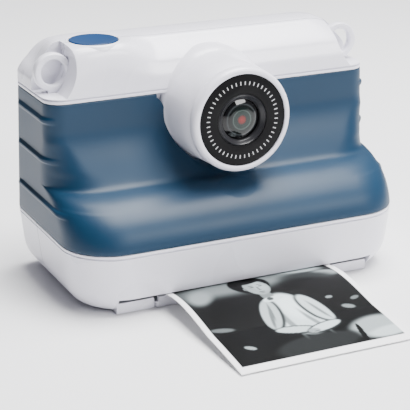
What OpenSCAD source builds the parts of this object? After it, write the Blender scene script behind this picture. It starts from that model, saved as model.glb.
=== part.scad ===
// Instant-print children's camera: two white housing halves inside a soft grip sleeve,
// a lens barrel, a rear screen with keys, and a small thermal printer behind a bottom door.
// +Z is up, -Y is the way the lens looks, and the origin is the middle of the resting face.

/* [Body] */
// Width of the base where it meets the grip sleeve
base_w = 113.6; // [90:0.2:150]
// Width of the top cover where it meets the grip sleeve
cover_w = 111; // [88:0.2:147]
// Overall height
body_h = 77; // [64:0.5:95]
// Overall depth without the lens barrel
body_d = 58.8; // [49:0.2:71]
// Depth of the top cover
cover_d = 32; // [28:0.2:36]
// Height of the white base band
base_h = 20.3; // [17:0.1:24]
// Height of the white top cover
cover_h = 16.1; // [13:0.1:19]
// Depth of the rear housing half
rear_d = 20; // [18:0.2:23]
// Wall of the moulded housings
wall = 2; // [1.6:0.1:2.6]
// Thickness of the soft grip sleeve
grip_t = 2.2; // [1.5:0.1:3]
// Radius of the front corners at the base
base_corner_r = 16; // [10:0.5:20]
// Radius of the front corners at the cover
cover_corner_r = 6; // [4:0.5:8]
// Depth of the recess that the sleeve has round the lens barrel
dish_clear = 3; // [2:0.1:4]

/* [Lens] */
// Outer radius of the barrel's white front ring
barrel_r = 16.3; // [14:0.1:18]
// How far the barrel stands out from the cover
barrel_out = 19.6; // [14:0.2:24]
// Radius of the black face disc
face_r = 14.4; // [12:0.1:15]
// Radius of the front glass
glass_r = 6.4; // [5:0.1:8]

/* [Paper] */
// Width of the thermal paper
paper_w = 57; // [47:1:58]
// Radius of a new paper roll
roll_r = 13; // [11:0.5:14]
// Length of the print that has come out
print_out = 56; // [40:1:70]
// Thickness of the modelled paper sheet
paper_t = 0.2; // [0.1:0.05:0.4]
// Radius of the rubber platen roller
platen_r = 2.8; // [2.4:0.1:3]

/* [Screen and keys] */
// Width of the screen window
window_w = 63; // [50:0.5:66]
// Height of the screen window
window_h = 44; // [36:0.5:46]
// Radius of the shutter button
shutter_r = 7.6; // [6:0.1:9]
// Travel of the shutter button
shutter_travel = 1.2; // [0.8:0.1:1.6]
// Radius of the four arrow keys
arrow_r = 3; // [2.4:0.1:3.4]
// Radius of the centre key
ok_r = 3.9; // [3:0.1:4.2]
// Travel of the rear keys
key_travel = 0.7; // [0.4:0.1:0.9]

/* [Strap lugs] */
// Radius of the hole in a strap lug
lug_hole_r = 4; // [3:0.1:4.4]
// Width of the lug's band
lug_band = 2; // [1.6:0.1:2.6]
// Thickness of a lug
lug_t = 3; // [2:0.1:4]

/* [Fits] */
// Radial clearance of a shaft in its bearing
run_fit = 0.05; // [0.02:0.01:0.1]
// Gap round a moving key or door
gap = 0.3; // [0.2:0.05:0.4]
// Radius of the housing screws' shanks
screw_r = 1.1; // [0.9:0.1:1.4]

/* [Hidden] */

$fn = 48;
hair = 0.01;

// ---- body outline -------------------------------------------------------
front_y = -body_d / 2;
back_y = body_d / 2;
split_y = back_y - rear_d;
cover_front_y = back_y - cover_d;
cover_z = body_h - cover_h;
grip_h = cover_z - base_h;
base_round_h = 9;       // height of the rounding under the base
base_round_in = 6.5;    // how far that rounding comes in
base_taper = 2.4;       // how much each side leans in down the base
rear_corner_r = 4;
bulge_top = base_h + 0.352 * grip_h;
bulge_y = cover_front_y - 8.4;
bulge_low = base_h - 1.3;

function clamp01(t) = min(1, max(0, t));
// how far a quarter round has come in at share t of its height
function round_in(t) = 1 - sqrt(max(0, 1 - pow(1 - clamp01(t), 2)));
function base_in(z) = base_round_in * round_in(z / base_round_h);
function cover_t(z) = (z - cover_z) / cover_h;

// half width at height z
function half_w(z) =
    z < base_h ? base_w / 2 - base_taper * (base_h - z) / base_h - base_in(z)
    : z < cover_z ? base_w / 2 - (base_w - cover_w) / 2 * (z - base_h) / grip_h
    : cover_w / 2 - lookup(cover_t(z), [[0, 0], [0.32, 0], [0.45, 1.4], [0.57, 3.4],
        [0.8, 6.6], [0.93, 9.2], [1, 13]]);

// how far forward the lower bulge and the dish above it come
function bulge(z) = bulge_y - (bulge_y - front_y)
    * sqrt(max(0, 1 - pow((z - bulge_low) / (bulge_top - bulge_low), 2)));
function dish(z) = cover_front_y
    - 8.4 * pow(1 - clamp01((z - bulge_top) / (0.43 * grip_h)), 1.6);
function front_at(z) =
    z < base_h ? front_y + 0.6 * (base_h - z) / base_h + base_in(z)
    : z < bulge_top ? bulge(z)
    : z < cover_z ? dish(z)
    : lookup(cover_t(z), [[0, cover_front_y], [0.35, cover_front_y + 0.9],
        [0.6, cover_front_y + 2.6], [0.7, cover_front_y + 4.2],
        [0.8, cover_front_y + 6.8], [0.9, split_y - 2.6], [1, split_y - 1]]);
function back_at(z) =
    z < base_h ? back_y - 0.6 * base_in(z)
    : z < cover_z ? back_y
    : lookup(cover_t(z), [[0, back_y], [0.66, back_y], [0.78, back_y - 0.7],
        [0.87, back_y - 2.2], [0.93, back_y - 4.6], [0.97, back_y - 8.5],
        [1, back_y - 15]]);
function corner_at(z) =
    z < base_h ? base_corner_r - 2 * base_in(z) / base_round_in
    : z < bulge_top ? base_corner_r
    : base_corner_r + (cover_corner_r - base_corner_r)
        * clamp01((z - bulge_top) / (0.35 * grip_h));

// share of the sleeve's thickness that lies along Y at height z
step_z = 0.2;
function front_lean(z) = z <= base_h || z >= cover_z ? 0
    : atan((front_at(z + step_z) - front_at(z - step_z)) / (2 * step_z))
        * clamp01((z - base_h) / 3) * clamp01((cover_z - z) / 3);

arc_steps = 9;
function arc(cx, cy, r, a0, a1) =
    [for (i = [0:arc_steps]) let (a = a0 + (a1 - a0) * i / arc_steps)
        [cx + r * cos(a), cy + r * sin(a)]];

// A point list round the front of the body at height z, inset by d, from the left end
// of the cut plane y_end to its right end.
function front_path(z, d, y_end) =
    let (w = half_w(z) - d,
        f = min(front_at(z) + d * cos(front_lean(z)), y_end - 0.8),
        r = max(0.5, min(corner_at(z) - d, y_end - f - 0.2)))
    concat([[-w, y_end]], arc(-w + r, f + r, r, 180, 270),
        arc(w - r, f + r, r, 270, 360), [[w, y_end]]);
function rear_path(z, d, y_end) =
    let (w = half_w(z) - d,
        b = max(back_at(z) - d, y_end + 1.2),
        r = max(0.5, min(rear_corner_r - d / 2, b - y_end - 0.2)))
    concat([[w, y_end]], arc(w - r, b - r, r, 0, 90), arc(-w + r, b - r, r, 90, 180),
        [[-w, y_end]]);
lip_x = 46;             // half width of the white panel between the sleeve's rear lips
// the whole outline at height z, front and rear
function ring_path(z, d) = concat(
    [for (p = front_path(z, d, split_y)) if (p[1] < split_y) p],
    [for (p = rear_path(z, d, split_y)) if (p[1] > split_y) p]);

// Gives each point its height, which drops under a leaning front face as the inset grows.
function lift(path, z, d) = [for (p = path)
    [p[0], p[1], z - d * sin(front_lean(z))
        * clamp01((split_y - p[1]) / (split_y - front_at(z)))]];

// A closed solid through rings of points, one above the other.
module loft(rings) {
    n = len(rings[0]);
    last = (len(rings) - 1) * n;
    polyhedron(
        points = [for (ring = rings) each ring],
        faces = concat(
            [[for (i = [0:n - 1]) i]],
            [[for (i = [n - 1:-1:0]) last + i]],
            [for (k = [0:len(rings) - 2]) for (i = [0:n - 1])
                let (a = k * n + i, b = k * n + (i + 1) % n) each
                [[a, a + n, b + n], [a, b + n, b]]]));
}

// The white bands stop this far short of the sleeve, so that each ledge has a little slope.
ledge = 0.02;
base_levels = [for (t = [0, 0.04, 0.1, 0.2, 0.32, 0.45, 0.7, 1]) t * (base_h - ledge)];
bulge_levels = [for (a = [6:7:90])
    bulge_low + (bulge_top - bulge_low) * sin(a)];
dish_levels = [for (i = [0:11]) bulge_top + 0.3 + (cover_z - bulge_top - 0.3) * i / 11];
grip_levels = concat([base_h], [for (z = bulge_levels) if (z > base_h + 0.6) z],
    dish_levels);
cover_levels = [for (t = [0, 0.18, 0.32, 0.42, 0.52, 0.6, 0.7, 0.8, 0.87, 0.93, 0.97, 1])
    cover_z + ledge + t * (cover_h - ledge)];
core_in = grip_t + 0.1;

// The height on the outer skin that the cavity's height z is taken from, so that the roof
// keeps its thickness.
function roof(z) = cover_z + (z - cover_z) * cover_h / (cover_h - wall);

// ---- helpers ------------------------------------------------------------
module box(low, high) { translate(low) cube(high - low); }
module x_rod(r, x0, x1, y, z) { translate([x0, y, z]) rotate([0, 90, 0]) cylinder(h = x1 - x0, r = r); }
module y_rod(r, x, y0, y1, z) { translate([x, y0, z]) rotate([-90, 0, 0]) cylinder(h = y1 - y0, r = r); }
module z_rod(r, x, y, z0, z1) { translate([x, y, z0]) cylinder(h = z1 - z0, r = r); }
module mirrored() { children(); mirror([1, 0, 0]) children(); }
// a plate in the XZ plane with round corners
module y_plate(x0, x1, z0, z1, y0, y1, r) {
    translate([0, y1, 0]) rotate([90, 0, 0]) linear_extrude(y1 - y0) round_rect(x0, x1, z0, z1, r);
}
// a plate in the XY plane with round corners
module z_plate(x0, x1, y0, y1, z0, z1, r) {
    translate([0, 0, z0]) linear_extrude(z1 - z0) round_rect(x0, x1, y0, y1, r);
}
module round_rect(a0, a1, b0, b1, r) {
    translate([a0 + r, b0]) square([a1 - a0 - 2 * r, b1 - b0]);
    translate([a0, b0 + r]) square([a1 - a0, b1 - b0 - 2 * r]);
    for (a = [a0 + r, a1 - r], b = [b0 + r, b1 - r]) translate([a, b]) circle(r);
}

// ---- places that several pieces share -------------------------------------
lens_z = cover_z - 5.9;
barrel_front = cover_front_y - barrel_out;
barrel_root_r = barrel_r + 1;
barrel_back = cover_front_y + 6.6;
barrel_bore = face_r - 1.4;
face_seat = barrel_front + 1.9;
// strap lugs and the pockets they stand in
lug_r = lug_hole_r + lug_band;
lug_x = cover_w / 2 - 5.3;
lug_z = cover_z + 7.9;
pocket_r = 15.6;
pocket_x = cover_w / 2 + 5.4;
pocket_z = body_h - 4;
pocket_floor = cover_z + 1.6;
pocket_back = split_y + 3.2;
// shutter
shutter_x = -(cover_w / 2 - 19.5);
pad_z = body_h + 0.2;
flange_z = pad_z - 4;
spring_low = flange_z - 7;
// rear wall, screen and keys
rear_in = back_y - wall;
window_x1 = lip_x - 1.5;
window_x0 = window_x1 - window_w;
window_z1 = cover_z + 0.1;
window_z0 = window_z1 - window_h;
board_y = rear_in - 5.3;
board_t = 1.6;
key_x = (window_x0 - lip_x) / 2 + 0.8;
key_z = window_z1 - 15;
key_ring = ok_r + arrow_r + 2.1;
row_z = key_z - key_ring - arrow_r - 6;
// paper path
platen_y = front_y + 14.4;
platen_z = 5.2;
nip_z = platen_z + platen_r;
turn_r = 6;
roll_y = platen_y + turn_r + roll_r;
roll_z = 8.5 + roll_r;
slot_z = 3.9;
slot_y = front_y + 3.6;
core_r = 7;
spindle_r = core_r - 1;
journal_r = 2;
frame_x = paper_w / 2 + 1.4;
frame_t = 1.2;
// gear train on the left of the printer
gear_m = 0.4;
platen_teeth = 14;
idler_teeth = 40;
pinion_teeth = 10;
gear_x1 = -(frame_x + frame_t + 0.8);
gear_x0 = gear_x1 - 2;
mesh_gap = 0.12;
idler_angle = 60;
pinion_angle = 35;
idler_dist = gear_m * (platen_teeth + idler_teeth) / 2 + mesh_gap;
idler_y = platen_y + idler_dist * cos(idler_angle);
idler_z = platen_z + idler_dist * sin(idler_angle);
pinion_dist = gear_m * (pinion_teeth + idler_teeth) / 2 + mesh_gap;
pinion_y = idler_y + pinion_dist * cos(pinion_angle);
pinion_z = idler_z + pinion_dist * sin(pinion_angle);
motor_r = 7.5;
bracket_x1 = gear_x0 - 0.8;
bracket_x0 = bracket_x1 - 1;
shaft_r = 1;
// bottom door and plate
plate_t = 1.8;
door_half = paper_w / 2 + 2.6;
door_front = slot_y + 0.6;
hinge_y = roll_y + roll_r + 1.6;
hinge_z = 2;
knuckle_r = 1.4;
hinge_pin_r = 0.6;
door_t = 1.8;
door_back = hinge_y - knuckle_r - 1.8;
notch_half = 44;
// screws
top_screw_x = 24;
top_screw_z = cover_z + 7.6;
low_screw_x = base_w / 2 - 12.3;
low_screw_z = 8;
boss_r = 2.6;
screw_places = [[-top_screw_x, top_screw_z], [top_screw_x, top_screw_z],
    [-low_screw_x, low_screw_z], [low_screw_x, low_screw_z]];
// port recess
port_x0 = 12;
port_x1 = 36;
port_z0 = 6;
port_z1 = 15.5;
port_floor = back_y - 3.4;
flap_t = 1.4;
flap_hinge_y = back_y - 1;
flap_hinge_z = port_z0 + 1;

// ---- housings -------------------------------------------------------------
module body_solid(front) {
    y_end = split_y;
    loft(concat(
        [for (z = base_levels) lift(front ? front_path(z, 0, y_end) : rear_path(z, 0, y_end), z, 0)],
        [for (z = grip_levels) lift(front ? front_path(z, core_in, y_end)
            : rear_path(z, core_in, y_end), z, core_in)],
        [for (z = cover_levels) lift(front ? front_path(z, 0, y_end) : rear_path(z, 0, y_end), z, 0)]));
}
module cavity(front) {
    y_end = front ? split_y + 1 : split_y - 1;
    deep = core_in + wall;
    base_in_z = base_h - wall;
    cover_in_z = cover_z + wall;
    base_part = [for (z = base_levels) if (z < base_in_z - 0.5) z];
    cover_part = [for (z = cover_levels) if (roof(cover_in_z) + 4 * ledge < z) z];
    loft(concat(
        [lift(front ? front_path(0, wall, y_end) : rear_path(0, wall, y_end), -1, 0)],
        [for (z = concat(base_part, [base_in_z - ledge])) lift(front ? front_path(z, wall, y_end)
            : rear_path(z, wall, y_end), z, 0)],
        [for (z = concat([base_in_z], [for (g = grip_levels) if (g > base_h) g], [cover_in_z]))
            lift(front ? front_path(z, deep, y_end) : rear_path(z, deep, y_end), z,
                z > base_h && z < cover_z ? deep : 0)],
        [for (z = concat([roof(cover_in_z) + ledge], cover_part))
            lift(front ? front_path(z, wall, y_end) : rear_path(z, wall, y_end),
                cover_z + (z - cover_z) * (cover_h - wall) / cover_h, 0)]));
}
// the scooped pocket at each end of the cover, grown by g
module pockets(g) {
    mirrored() intersection() {
        y_rod(pocket_r + g, -pocket_x, cover_front_y - 6, pocket_back + g, pocket_z);
        box([-base_w, cover_front_y - 20, pocket_floor - g], [0, back_y, body_h + 20]);
    }
}
module lug_seats() {
    mirrored() {
        y_rod(lug_r + 0.05, -lug_x, split_y - lug_t - 0.05, split_y + 0.05, lug_z);
        box([-lug_x - 2.05, split_y - lug_t - 0.05, cover_z + 0.4],
            [-lug_x + 2.05, split_y + 0.05, lug_z - lug_hole_r - 0.5]);
    }
}
module shutter_pad(front) {
    intersection() {
        translate([shutter_x, split_y, pad_z - 8]) cylinder(h = 8, r1 = shutter_r + 4.4, r2 = shutter_r + 1.3);
        box([-base_w, front ? front_y : split_y, 0], [0, front ? split_y : back_y, body_h + 9]);
    }
}
module shutter_well() {
    z_rod(shutter_r + gap, shutter_x, split_y, flange_z, pad_z + 4);
    z_rod(shutter_r + 1.3, shutter_x, split_y, flange_z - 8, flange_z + 1.5);
}

module front_housing() {
    color("ghostwhite") difference() {
        union() {
            difference() {
                union() {
                    body_solid(true);
                    shutter_pad(true);
                }
                difference() {
                    cavity(true);
                    pockets(wall);
                    shutter_pad(true);
                }
                pockets(0);
                shutter_well();
                // notch under the front edge that the print comes out of
                box([-notch_half, front_y - 5, -2], [notch_half, front_y + 12, slot_z + 1.7]);
            }
            // lens barrel
            translate([0, barrel_back, lens_z]) rotate([90, 0, 0]) rotate_extrude($fn = 96)
                barrel_section();
            for (p = screw_places) y_rod(boss_r, p[0], p[1] < base_h ? front_y + 3.4 : cover_front_y + 4,
                split_y, p[1]);
        }
        y_rod(barrel_bore, 0, barrel_front - 1, barrel_back + 1, lens_z, $fn = 96);
        y_rod(face_r + 0.1, 0, barrel_front - 1, face_seat, lens_z, $fn = 96);
        for (p = screw_places) y_rod(screw_r, p[0], split_y - 8, split_y + 1, p[1]);
        lug_seats();
    }
}
module barrel_section() {
    len = barrel_back - barrel_front;
    rim = 1;
    polygon(concat([[barrel_bore - 0.5, 0], [barrel_root_r, 0], [barrel_root_r, barrel_back - cover_front_y],
        [barrel_r, len - rim]],
        [for (a = [10:20:90]) [barrel_r - rim + rim * cos(a), len - rim + rim * sin(a)]],
        [[barrel_bore - 0.5, len]]));
}

module rear_housing() {
    color("ghostwhite") difference() {
        union() {
            difference() {
                union() {
                    body_solid(false);
                    shutter_pad(false);
                    box([-lip_x + 0.1, back_y - 4, base_h - 1], [lip_x - 0.1, back_y, cover_z + 1]);
                }
                difference() {
                    cavity(false);
                    pockets(wall);
                    shutter_pad(false);
                }
                box([-lip_x + 1.4, split_y + 4, base_h - wall - 0.1], [lip_x - 1.4, rear_in, cover_z + wall]);
                pockets(0);
                shutter_well();
            }
            for (p = screw_places) y_rod(boss_r, p[0], split_y, back_y - 1, p[1]);
            // tray behind the port flap
            box([port_x0 - 1.5, port_floor - 1.2, port_z0 - 1.5], [port_x1 + 1.5, back_y - 1.2, port_z1 + 1.5]);
        }
        for (p = screw_places) {
            y_rod(screw_r + 0.2, p[0], split_y - 1, back_y + 1, p[1]);
            y_rod(screw_r * 2 + 0.2, p[0], back_y - 3.2, back_y + 1, p[1]);
        }
        // screen: a seat for the window and a hole for the lit area
        y_plate(window_x0 - 0.1, window_x1 + 0.1, window_z0 - 0.1, window_z1 + 0.1, back_y - 1.5, back_y + 1, 3);
        box([window_x0 + 4, rear_in - 1, window_z0 + 3], [window_x1 - 4, back_y, window_z1 - 3]);
        for (k = keys) y_rod(k[2] + gap, k[0], rear_in - 2, back_y + 1, k[1]);
        y_rod(led_r + 0.05, key_x + 8, rear_in - 1, back_y + 1, window_z1 - 2);
        // speaker slots
        for (i = [-2:2]) box([key_x - 4.4 + abs(i), rear_in - 3, speaker_z + i * 2.3 - 0.6],
            [key_x + 4.4 - abs(i), back_y + 1, speaker_z + i * 2.3 + 0.6]);
        // port recess and its sockets' mouths
        box([port_x0, port_floor, port_z0], [port_x1, back_y + 1, port_z1]);
        y_plate(usb_x - 4.7, usb_x + 4.7, port_mid - 1.85, port_mid + 1.85, port_floor - 3, back_y, 1.8);
        box([card_x - 6, port_floor - 3, port_mid - 0.7], [card_x + 6, back_y, port_mid + 0.7]);
        // sockets for the flap's pegs
        x_rod(flap_peg_r + run_fit, port_x0 - 1, port_x1 + 1, flap_hinge_y, flap_hinge_z);
        lug_seats();
    }
}
led_r = 1.2;
speaker_z = 10;
speaker_r = 5.8;
usb_x = port_x0 + 6.5;
card_x = port_x0 + 17.4;
port_mid = (port_z0 + port_z1) / 2 + 0.6;
flap_peg_r = 0.6;

module grip_sleeve() {
    color("steelblue") difference() {
        union() {
            loft([for (z = grip_levels) lift(ring_path(z, 0), z, 0)]);
            ridges();
        }
        loft(concat([lift(ring_path(base_h, grip_t), base_h - 1, 0)],
            [for (z = grip_levels) lift(ring_path(z, grip_t), z, grip_t)],
            [lift(ring_path(cover_z, grip_t), cover_z + 1, 0)]));
        // the white rear panel stands between the sleeve's two rear lips
        box([-lip_x, back_y - grip_t - 1, base_h - 1], [lip_x, back_y + 1, cover_z + 1]);
        // room for the barrel, open to the cover, and the dished recess round it
        y_rod(barrel_root_r + 0.4, 0, front_y - 1, split_y, lens_z, $fn = 96);
        box([-barrel_root_r - 0.4, front_y - 1, lens_z], [barrel_root_r + 0.4, split_y, cover_z + 1]);
        translate([0, split_y - 24, lens_z]) rotate([90, 0, 0])
            cylinder(h = 30, r1 = barrel_root_r + 0.4, r2 = barrel_root_r + 2 * dish_clear, $fn = 96);
        mirrored() tongue_corner();
    }
}
// the sleeve's top corners beside the barrel are cut to a round
module tongue_corner() {
    r = 6;
    x0 = barrel_root_r + 0.3;
    difference() {
        box([x0 - 1, front_y, cover_z - r], [x0 + r, 0, cover_z + 1]);
        y_rod(r, x0 + r, front_y - 1, 1, cover_z - r);
    }
}
ridge_r = 1.5;
ridge_out = 0.9;
ridge_z = [base_h + 0.23 * grip_h, base_h + 0.56 * grip_h, base_h + 0.87 * grip_h];
module ridges() {
    mirrored() for (z = ridge_z) {
        x = half_w(z) + ridge_out - ridge_r;
        y_rod(ridge_r, -x, front_at(z) * 0.5 + cover_front_y * 0.5 + 2.5, back_y - rear_corner_r - 1, z, $fn = 24);
        translate([-x, front_at(z) * 0.5 + cover_front_y * 0.5 + 2.5, z]) sphere(ridge_r, $fn = 24);
    }
}

module base_plate() {
    lip_top = slot_z - 0.6;
    color("gainsboro") difference() {
        union() {
            linear_extrude(plate_t) polygon(ring_path(0, wall + gap));
            // raised lips at both ends of the print slot
            mirrored() box([-notch_half + gap, door_front + 0.4, 0], [-door_half - gap, door_front + 7, lip_top]);
            // hinge ears between the door's knuckles
            for (x = [-door_half + 8.4, door_half - 12.4]) hull() {
                x_rod(knuckle_r, x, x + 4, hinge_y, hinge_z, $fn = 32);
                box([x, hinge_y + 1.2, 0], [x + 4, hinge_y + 3, plate_t]);
            }
        }
        box([-door_half - gap, front_y, -1], [door_half + gap, hinge_y - knuckle_r - 0.2, lip_top + 1]);
        for (s = [-1, 1]) box([s * (door_half - 4) - 4.4, hinge_y - 3, -1],
            [s * (door_half - 4) + 4.4, hinge_y + knuckle_r + 0.4, plate_t + 1]);
        box([-door_half + 12.5, hinge_y - 3, -1], [door_half - 12.5, hinge_y + 1, plate_t + 1]);
        x_rod(hinge_pin_r, -door_half - 2, door_half + 2, hinge_y, hinge_z);
        for (p = base_screw_places) {
            z_rod(screw_r, p[0], p[1], -1, plate_t + 1);
            z_rod(screw_r * 2 + 0.1, p[0], p[1], -1, screw_sink);
        }
        // the housing screws' bosses stand in these corners
        for (p = screw_places) if (p[1] < base_h) y_rod(boss_r + gap, p[0], front_y, back_y, p[1]);
    }
}
screw_sink = 1.3;
base_screw_places = [[-40, -12], [40, -12], [-40, 20], [40, 20]];

module paper_door() {
    color("ghostwhite") difference() {
        union() {
            z_plate(-door_half, door_half, door_front, door_back, 0, door_t, 1.2);
            // raised front lip that the print slides over
            box([-paper_w / 2 - 1.5, door_front, 0], [paper_w / 2 + 1.5, door_front + 1.6, slot_z - 0.5]);
            for (s = [-1, 1]) hull() {
                x_rod(knuckle_r, s * (door_half - 4) - 4, s * (door_half - 4) + 4, hinge_y, hinge_z, $fn = 32);
                box([s * (door_half - 4) - 4, door_back - 1, 0], [s * (door_half - 4) + 4, door_back, door_t]);
            }
        }
        x_rod(hinge_pin_r + run_fit, -door_half - 1, door_half + 1, hinge_y, hinge_z);
        // finger notch at the front edge
        z_rod(9, 0, door_front - 6.5, -1, 0.9);
    }
}
module door_hinge_pin() { color("silver") x_rod(hinge_pin_r, -door_half - 0.5, door_half + 0.5, hinge_y, hinge_z); }

// ---- strap lugs -------------------------------------------------------------
module strap_lug(side) {
    color("ghostwhite") difference() {
        union() {
            y_rod(lug_r, side * lug_x, split_y - lug_t, split_y, lug_z, $fn = 64);
            box([side * lug_x - 2, split_y - lug_t, cover_z + 0.5], [side * lug_x + 2, split_y, lug_z - lug_hole_r - 0.6]);
        }
        y_rod(lug_hole_r, side * lug_x, split_y - lug_t - 1, split_y + 1, lug_z, $fn = 64);
    }
}
module strap_lug_left() { strap_lug(-1); }
module strap_lug_right() { strap_lug(1); }

// ---- lens -------------------------------------------------------------------
module tube_y(r_out, r_in, y0, y1) {
    difference() {
        y_rod(r_out, 0, y0, y1, lens_z, $fn = 96);
        y_rod(r_in, 0, y0 - 1, y1 + 1, lens_z, $fn = 96);
    }
}
bezel_r = glass_r + 1.8;
module lens_face() { color("black") tube_y(face_r, bezel_r, face_seat - 1.5, face_seat); }
module lens_bezel() {
    color("dimgray") translate([0, face_seat + 3, lens_z]) rotate([90, 0, 0]) rotate_extrude($fn = 96)
        polygon([[glass_r, 0], [bezel_r, 0], [bezel_r, 4.2], [bezel_r - 0.5, 4.6], [bezel_r - 0.9, 4.1],
            [glass_r + 0.4, 3.9], [glass_r, 3.4]]);
}
dome_r = 14;
module front_lens() {
    rise = dome_r - sqrt(dome_r * dome_r - (glass_r - 0.05) * (glass_r - 0.05));
    color("darkslategray") intersection() {
        y_rod(glass_r - 0.05, 0, face_seat - 1, face_seat + 2, lens_z, $fn = 96);
        translate([0, face_seat - rise + dome_r, lens_z]) sphere(dome_r, $fn = 96);
    }
}
tube_y0 = face_seat + 3;
module lens_tube() { color("black") tube_y(glass_r + 0.6, glass_r - 1.6, tube_y0, tube_y0 + 11); }
module rear_lens() { color("lightcyan") y_rod(glass_r - 1.6, 0, tube_y0 + 6, tube_y0 + 8, lens_z, $fn = 64); }
holder_y = tube_y0 + 7;
sensor_y = holder_y + 8.5;
module lens_holder() {
    color("dimgray") difference() {
        union() {
            tube_y(glass_r + 2.6, glass_r + 0.6, holder_y, sensor_y);
            tube_y(barrel_bore, glass_r + 0.6, sensor_y - 2, sensor_y);
        }
    }
}
module sensor_board() {
    half = (barrel_bore - 0.6) / sqrt(2);
    color("darkgreen") union() {
        box([-half, sensor_y, lens_z - half], [half, sensor_y + 1, lens_z + half]);
        box([-4, sensor_y - 1.2, lens_z - 4], [4, sensor_y + 0.1, lens_z + 4]);
    }
}
flex_t = 0.3;
module sensor_flex() {
    y1 = board_y - board_t;
    color("orange") translate([-4, 0, 0]) rotate([90, 0, 90]) linear_extrude(8)
        polygon([[sensor_y + 1, lens_z - 4], [sensor_y + 1 + flex_t, lens_z - 4 + flex_t], [sensor_y + 2.5, lens_z - 8],
            [y1 - 2, lens_z - 8 + flex_t], [y1, lens_z - 6], [y1, lens_z - 6 - flex_t],
            [y1 - 1.9, lens_z - 8], [sensor_y + 2.3, lens_z - 8 - flex_t], [sensor_y + 1, lens_z - 4.6]]);
}

// ---- shutter ----------------------------------------------------------------
module shutter_button() {
    stem_r = 1.6;
    color("royalblue") difference() {
        union() {
            z_rod(shutter_r, shutter_x, split_y, flange_z, pad_z + 0.4, $fn = 64);
            z_rod(shutter_r + 0.9, shutter_x, split_y, flange_z, flange_z + 1);
            z_rod(stem_r, shutter_x, split_y, spring_low + shutter_travel + 0.6, flange_z);
        }
        // dished for a fingertip
        translate([shutter_x, split_y, pad_z + 0.4 + 42 - 0.9]) sphere(42, $fn = 96);
    }
}
spring_wire = 0.3;
module shutter_spring() {
    sides = 8;
    turns = 4;
    per_turn = 16;
    mean_r = 2.5;
    rise = flange_z - spring_low - 2 * spring_wire - 0.1;
    color("silver") loft_along([for (i = [0:turns * per_turn]) let (a = 360 * i / per_turn)
        [shutter_x + mean_r * cos(a), split_y + mean_r * sin(a),
            spring_low + spring_wire + 0.05 + rise * i / (turns * per_turn)]], mean_r, sides);
}
// a wire swept along a helix: each ring stands across the helix's own plane
module loft_along(path, mean_r, sides) {
    rings = [for (i = [0:len(path) - 1]) let (p = path[i],
        out = [(p[0] - shutter_x) / mean_r, (p[1] - split_y) / mean_r])
        [for (k = [0:sides - 1]) let (b = 360 * k / sides)
            [p[0] + spring_wire * cos(b) * out[0], p[1] + spring_wire * cos(b) * out[1],
                p[2] + spring_wire * sin(b)]]];
    loft(rings);
}
module shutter_switch() {
    color("dimgray") union() {
        box([shutter_x - 3.2, split_y - 3.2, spring_low - 3.4], [shutter_x + 3.2, split_y + 3.2, spring_low]);
        z_rod(1.5, shutter_x, split_y, spring_low - 0.1, spring_low + 0.4);
    }
}

// ---- rear: screen, keys, board -------------------------------------------------
// each key: x, z, radius
keys = [[key_x, key_z, ok_r], [key_x, key_z + key_ring, arrow_r], [key_x, key_z - key_ring, arrow_r],
    [key_x + key_ring, key_z, arrow_r], [key_x - key_ring, key_z, arrow_r],
    [key_x + 6, row_z, arrow_r], [key_x - 6, row_z, arrow_r], [key_x, row_z - arrow_r - 5.5, arrow_r - 0.4]];
key_back = rear_in - 3;
mat_y = board_y + 0.6;
dome_top = key_back - key_travel - 0.2;
module key_cap(k) {
    difference() {
        union() {
            y_rod(k[2], k[0], rear_in - 1.2, back_y + 0.5, k[1]);
            y_rod(k[2] + 0.9, k[0], rear_in - 1.2, rear_in - 0.2, k[1]);
            y_rod(k[2] - 1, k[0], key_back, rear_in - 1.1, k[1]);
        }
        translate([k[0], back_y + 0.5 + 14 - 0.35, k[1]]) sphere(14, $fn = 64);
    }
}
module ok_button() { color("royalblue") key_cap(keys[0]); }
module up_button() { color("white") key_cap(keys[1]); }
module down_button() { color("white") key_cap(keys[2]); }
module left_button() { color("white") key_cap(keys[3]); }
module right_button() { color("white") key_cap(keys[4]); }
module menu_button() { color("white") key_cap(keys[5]); }
module print_button() { color("royalblue") key_cap(keys[6]); }
module power_button() { color("white") key_cap(keys[7]); }
module button_mat() {
    color("lightgray") union() {
        y_plate(-lip_x + 2.6, window_x0 - 2, keys[7][1] - 3.4, key_z + key_ring + 2.4, board_y, mat_y, 2);
        for (k = keys) y_rod(1.4, k[0], board_y, dome_top, k[1]);
    }
}
module status_led() { color("limegreen") y_rod(led_r, key_x + 8, board_y, back_y, window_z1 - 2); }
module screen_window() { color("black") y_plate(window_x0, window_x1, window_z0, window_z1, back_y - 1.5, back_y - 0.1, 3); }
lcd_y1 = rear_in - 1.4;
module lcd_panel() { color("darkslateblue") box([window_x0 + 1.2, board_y + 0.3, window_z0 + 0.7], [window_x1 - 1.5, lcd_y1, window_z1 - 0.7]); }
module screen_gasket() {
    color("dimgray") difference() {
        box([window_x0 + 1.5, lcd_y1, window_z0 + 1], [window_x1 - 1.8, rear_in, window_z1 - 1]);
        box([window_x0 + 4, lcd_y1 - 1, window_z0 + 3], [window_x1 - 4, rear_in + 1, window_z1 - 3]);
    }
}
board_z0 = base_h + 4;
board_z1 = cover_z - 0.5;
board_half = base_w / 2 - 8;
board_screw_places = [[-board_half + 3, board_z0 + 3], [board_half - 3, board_z0 + 3],
    [-board_half + 3, board_z1 - 3], [board_half - 3, board_z1 - 3]];
io_x0 = port_x0 - 3;
io_x1 = port_x1 + 1;
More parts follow.
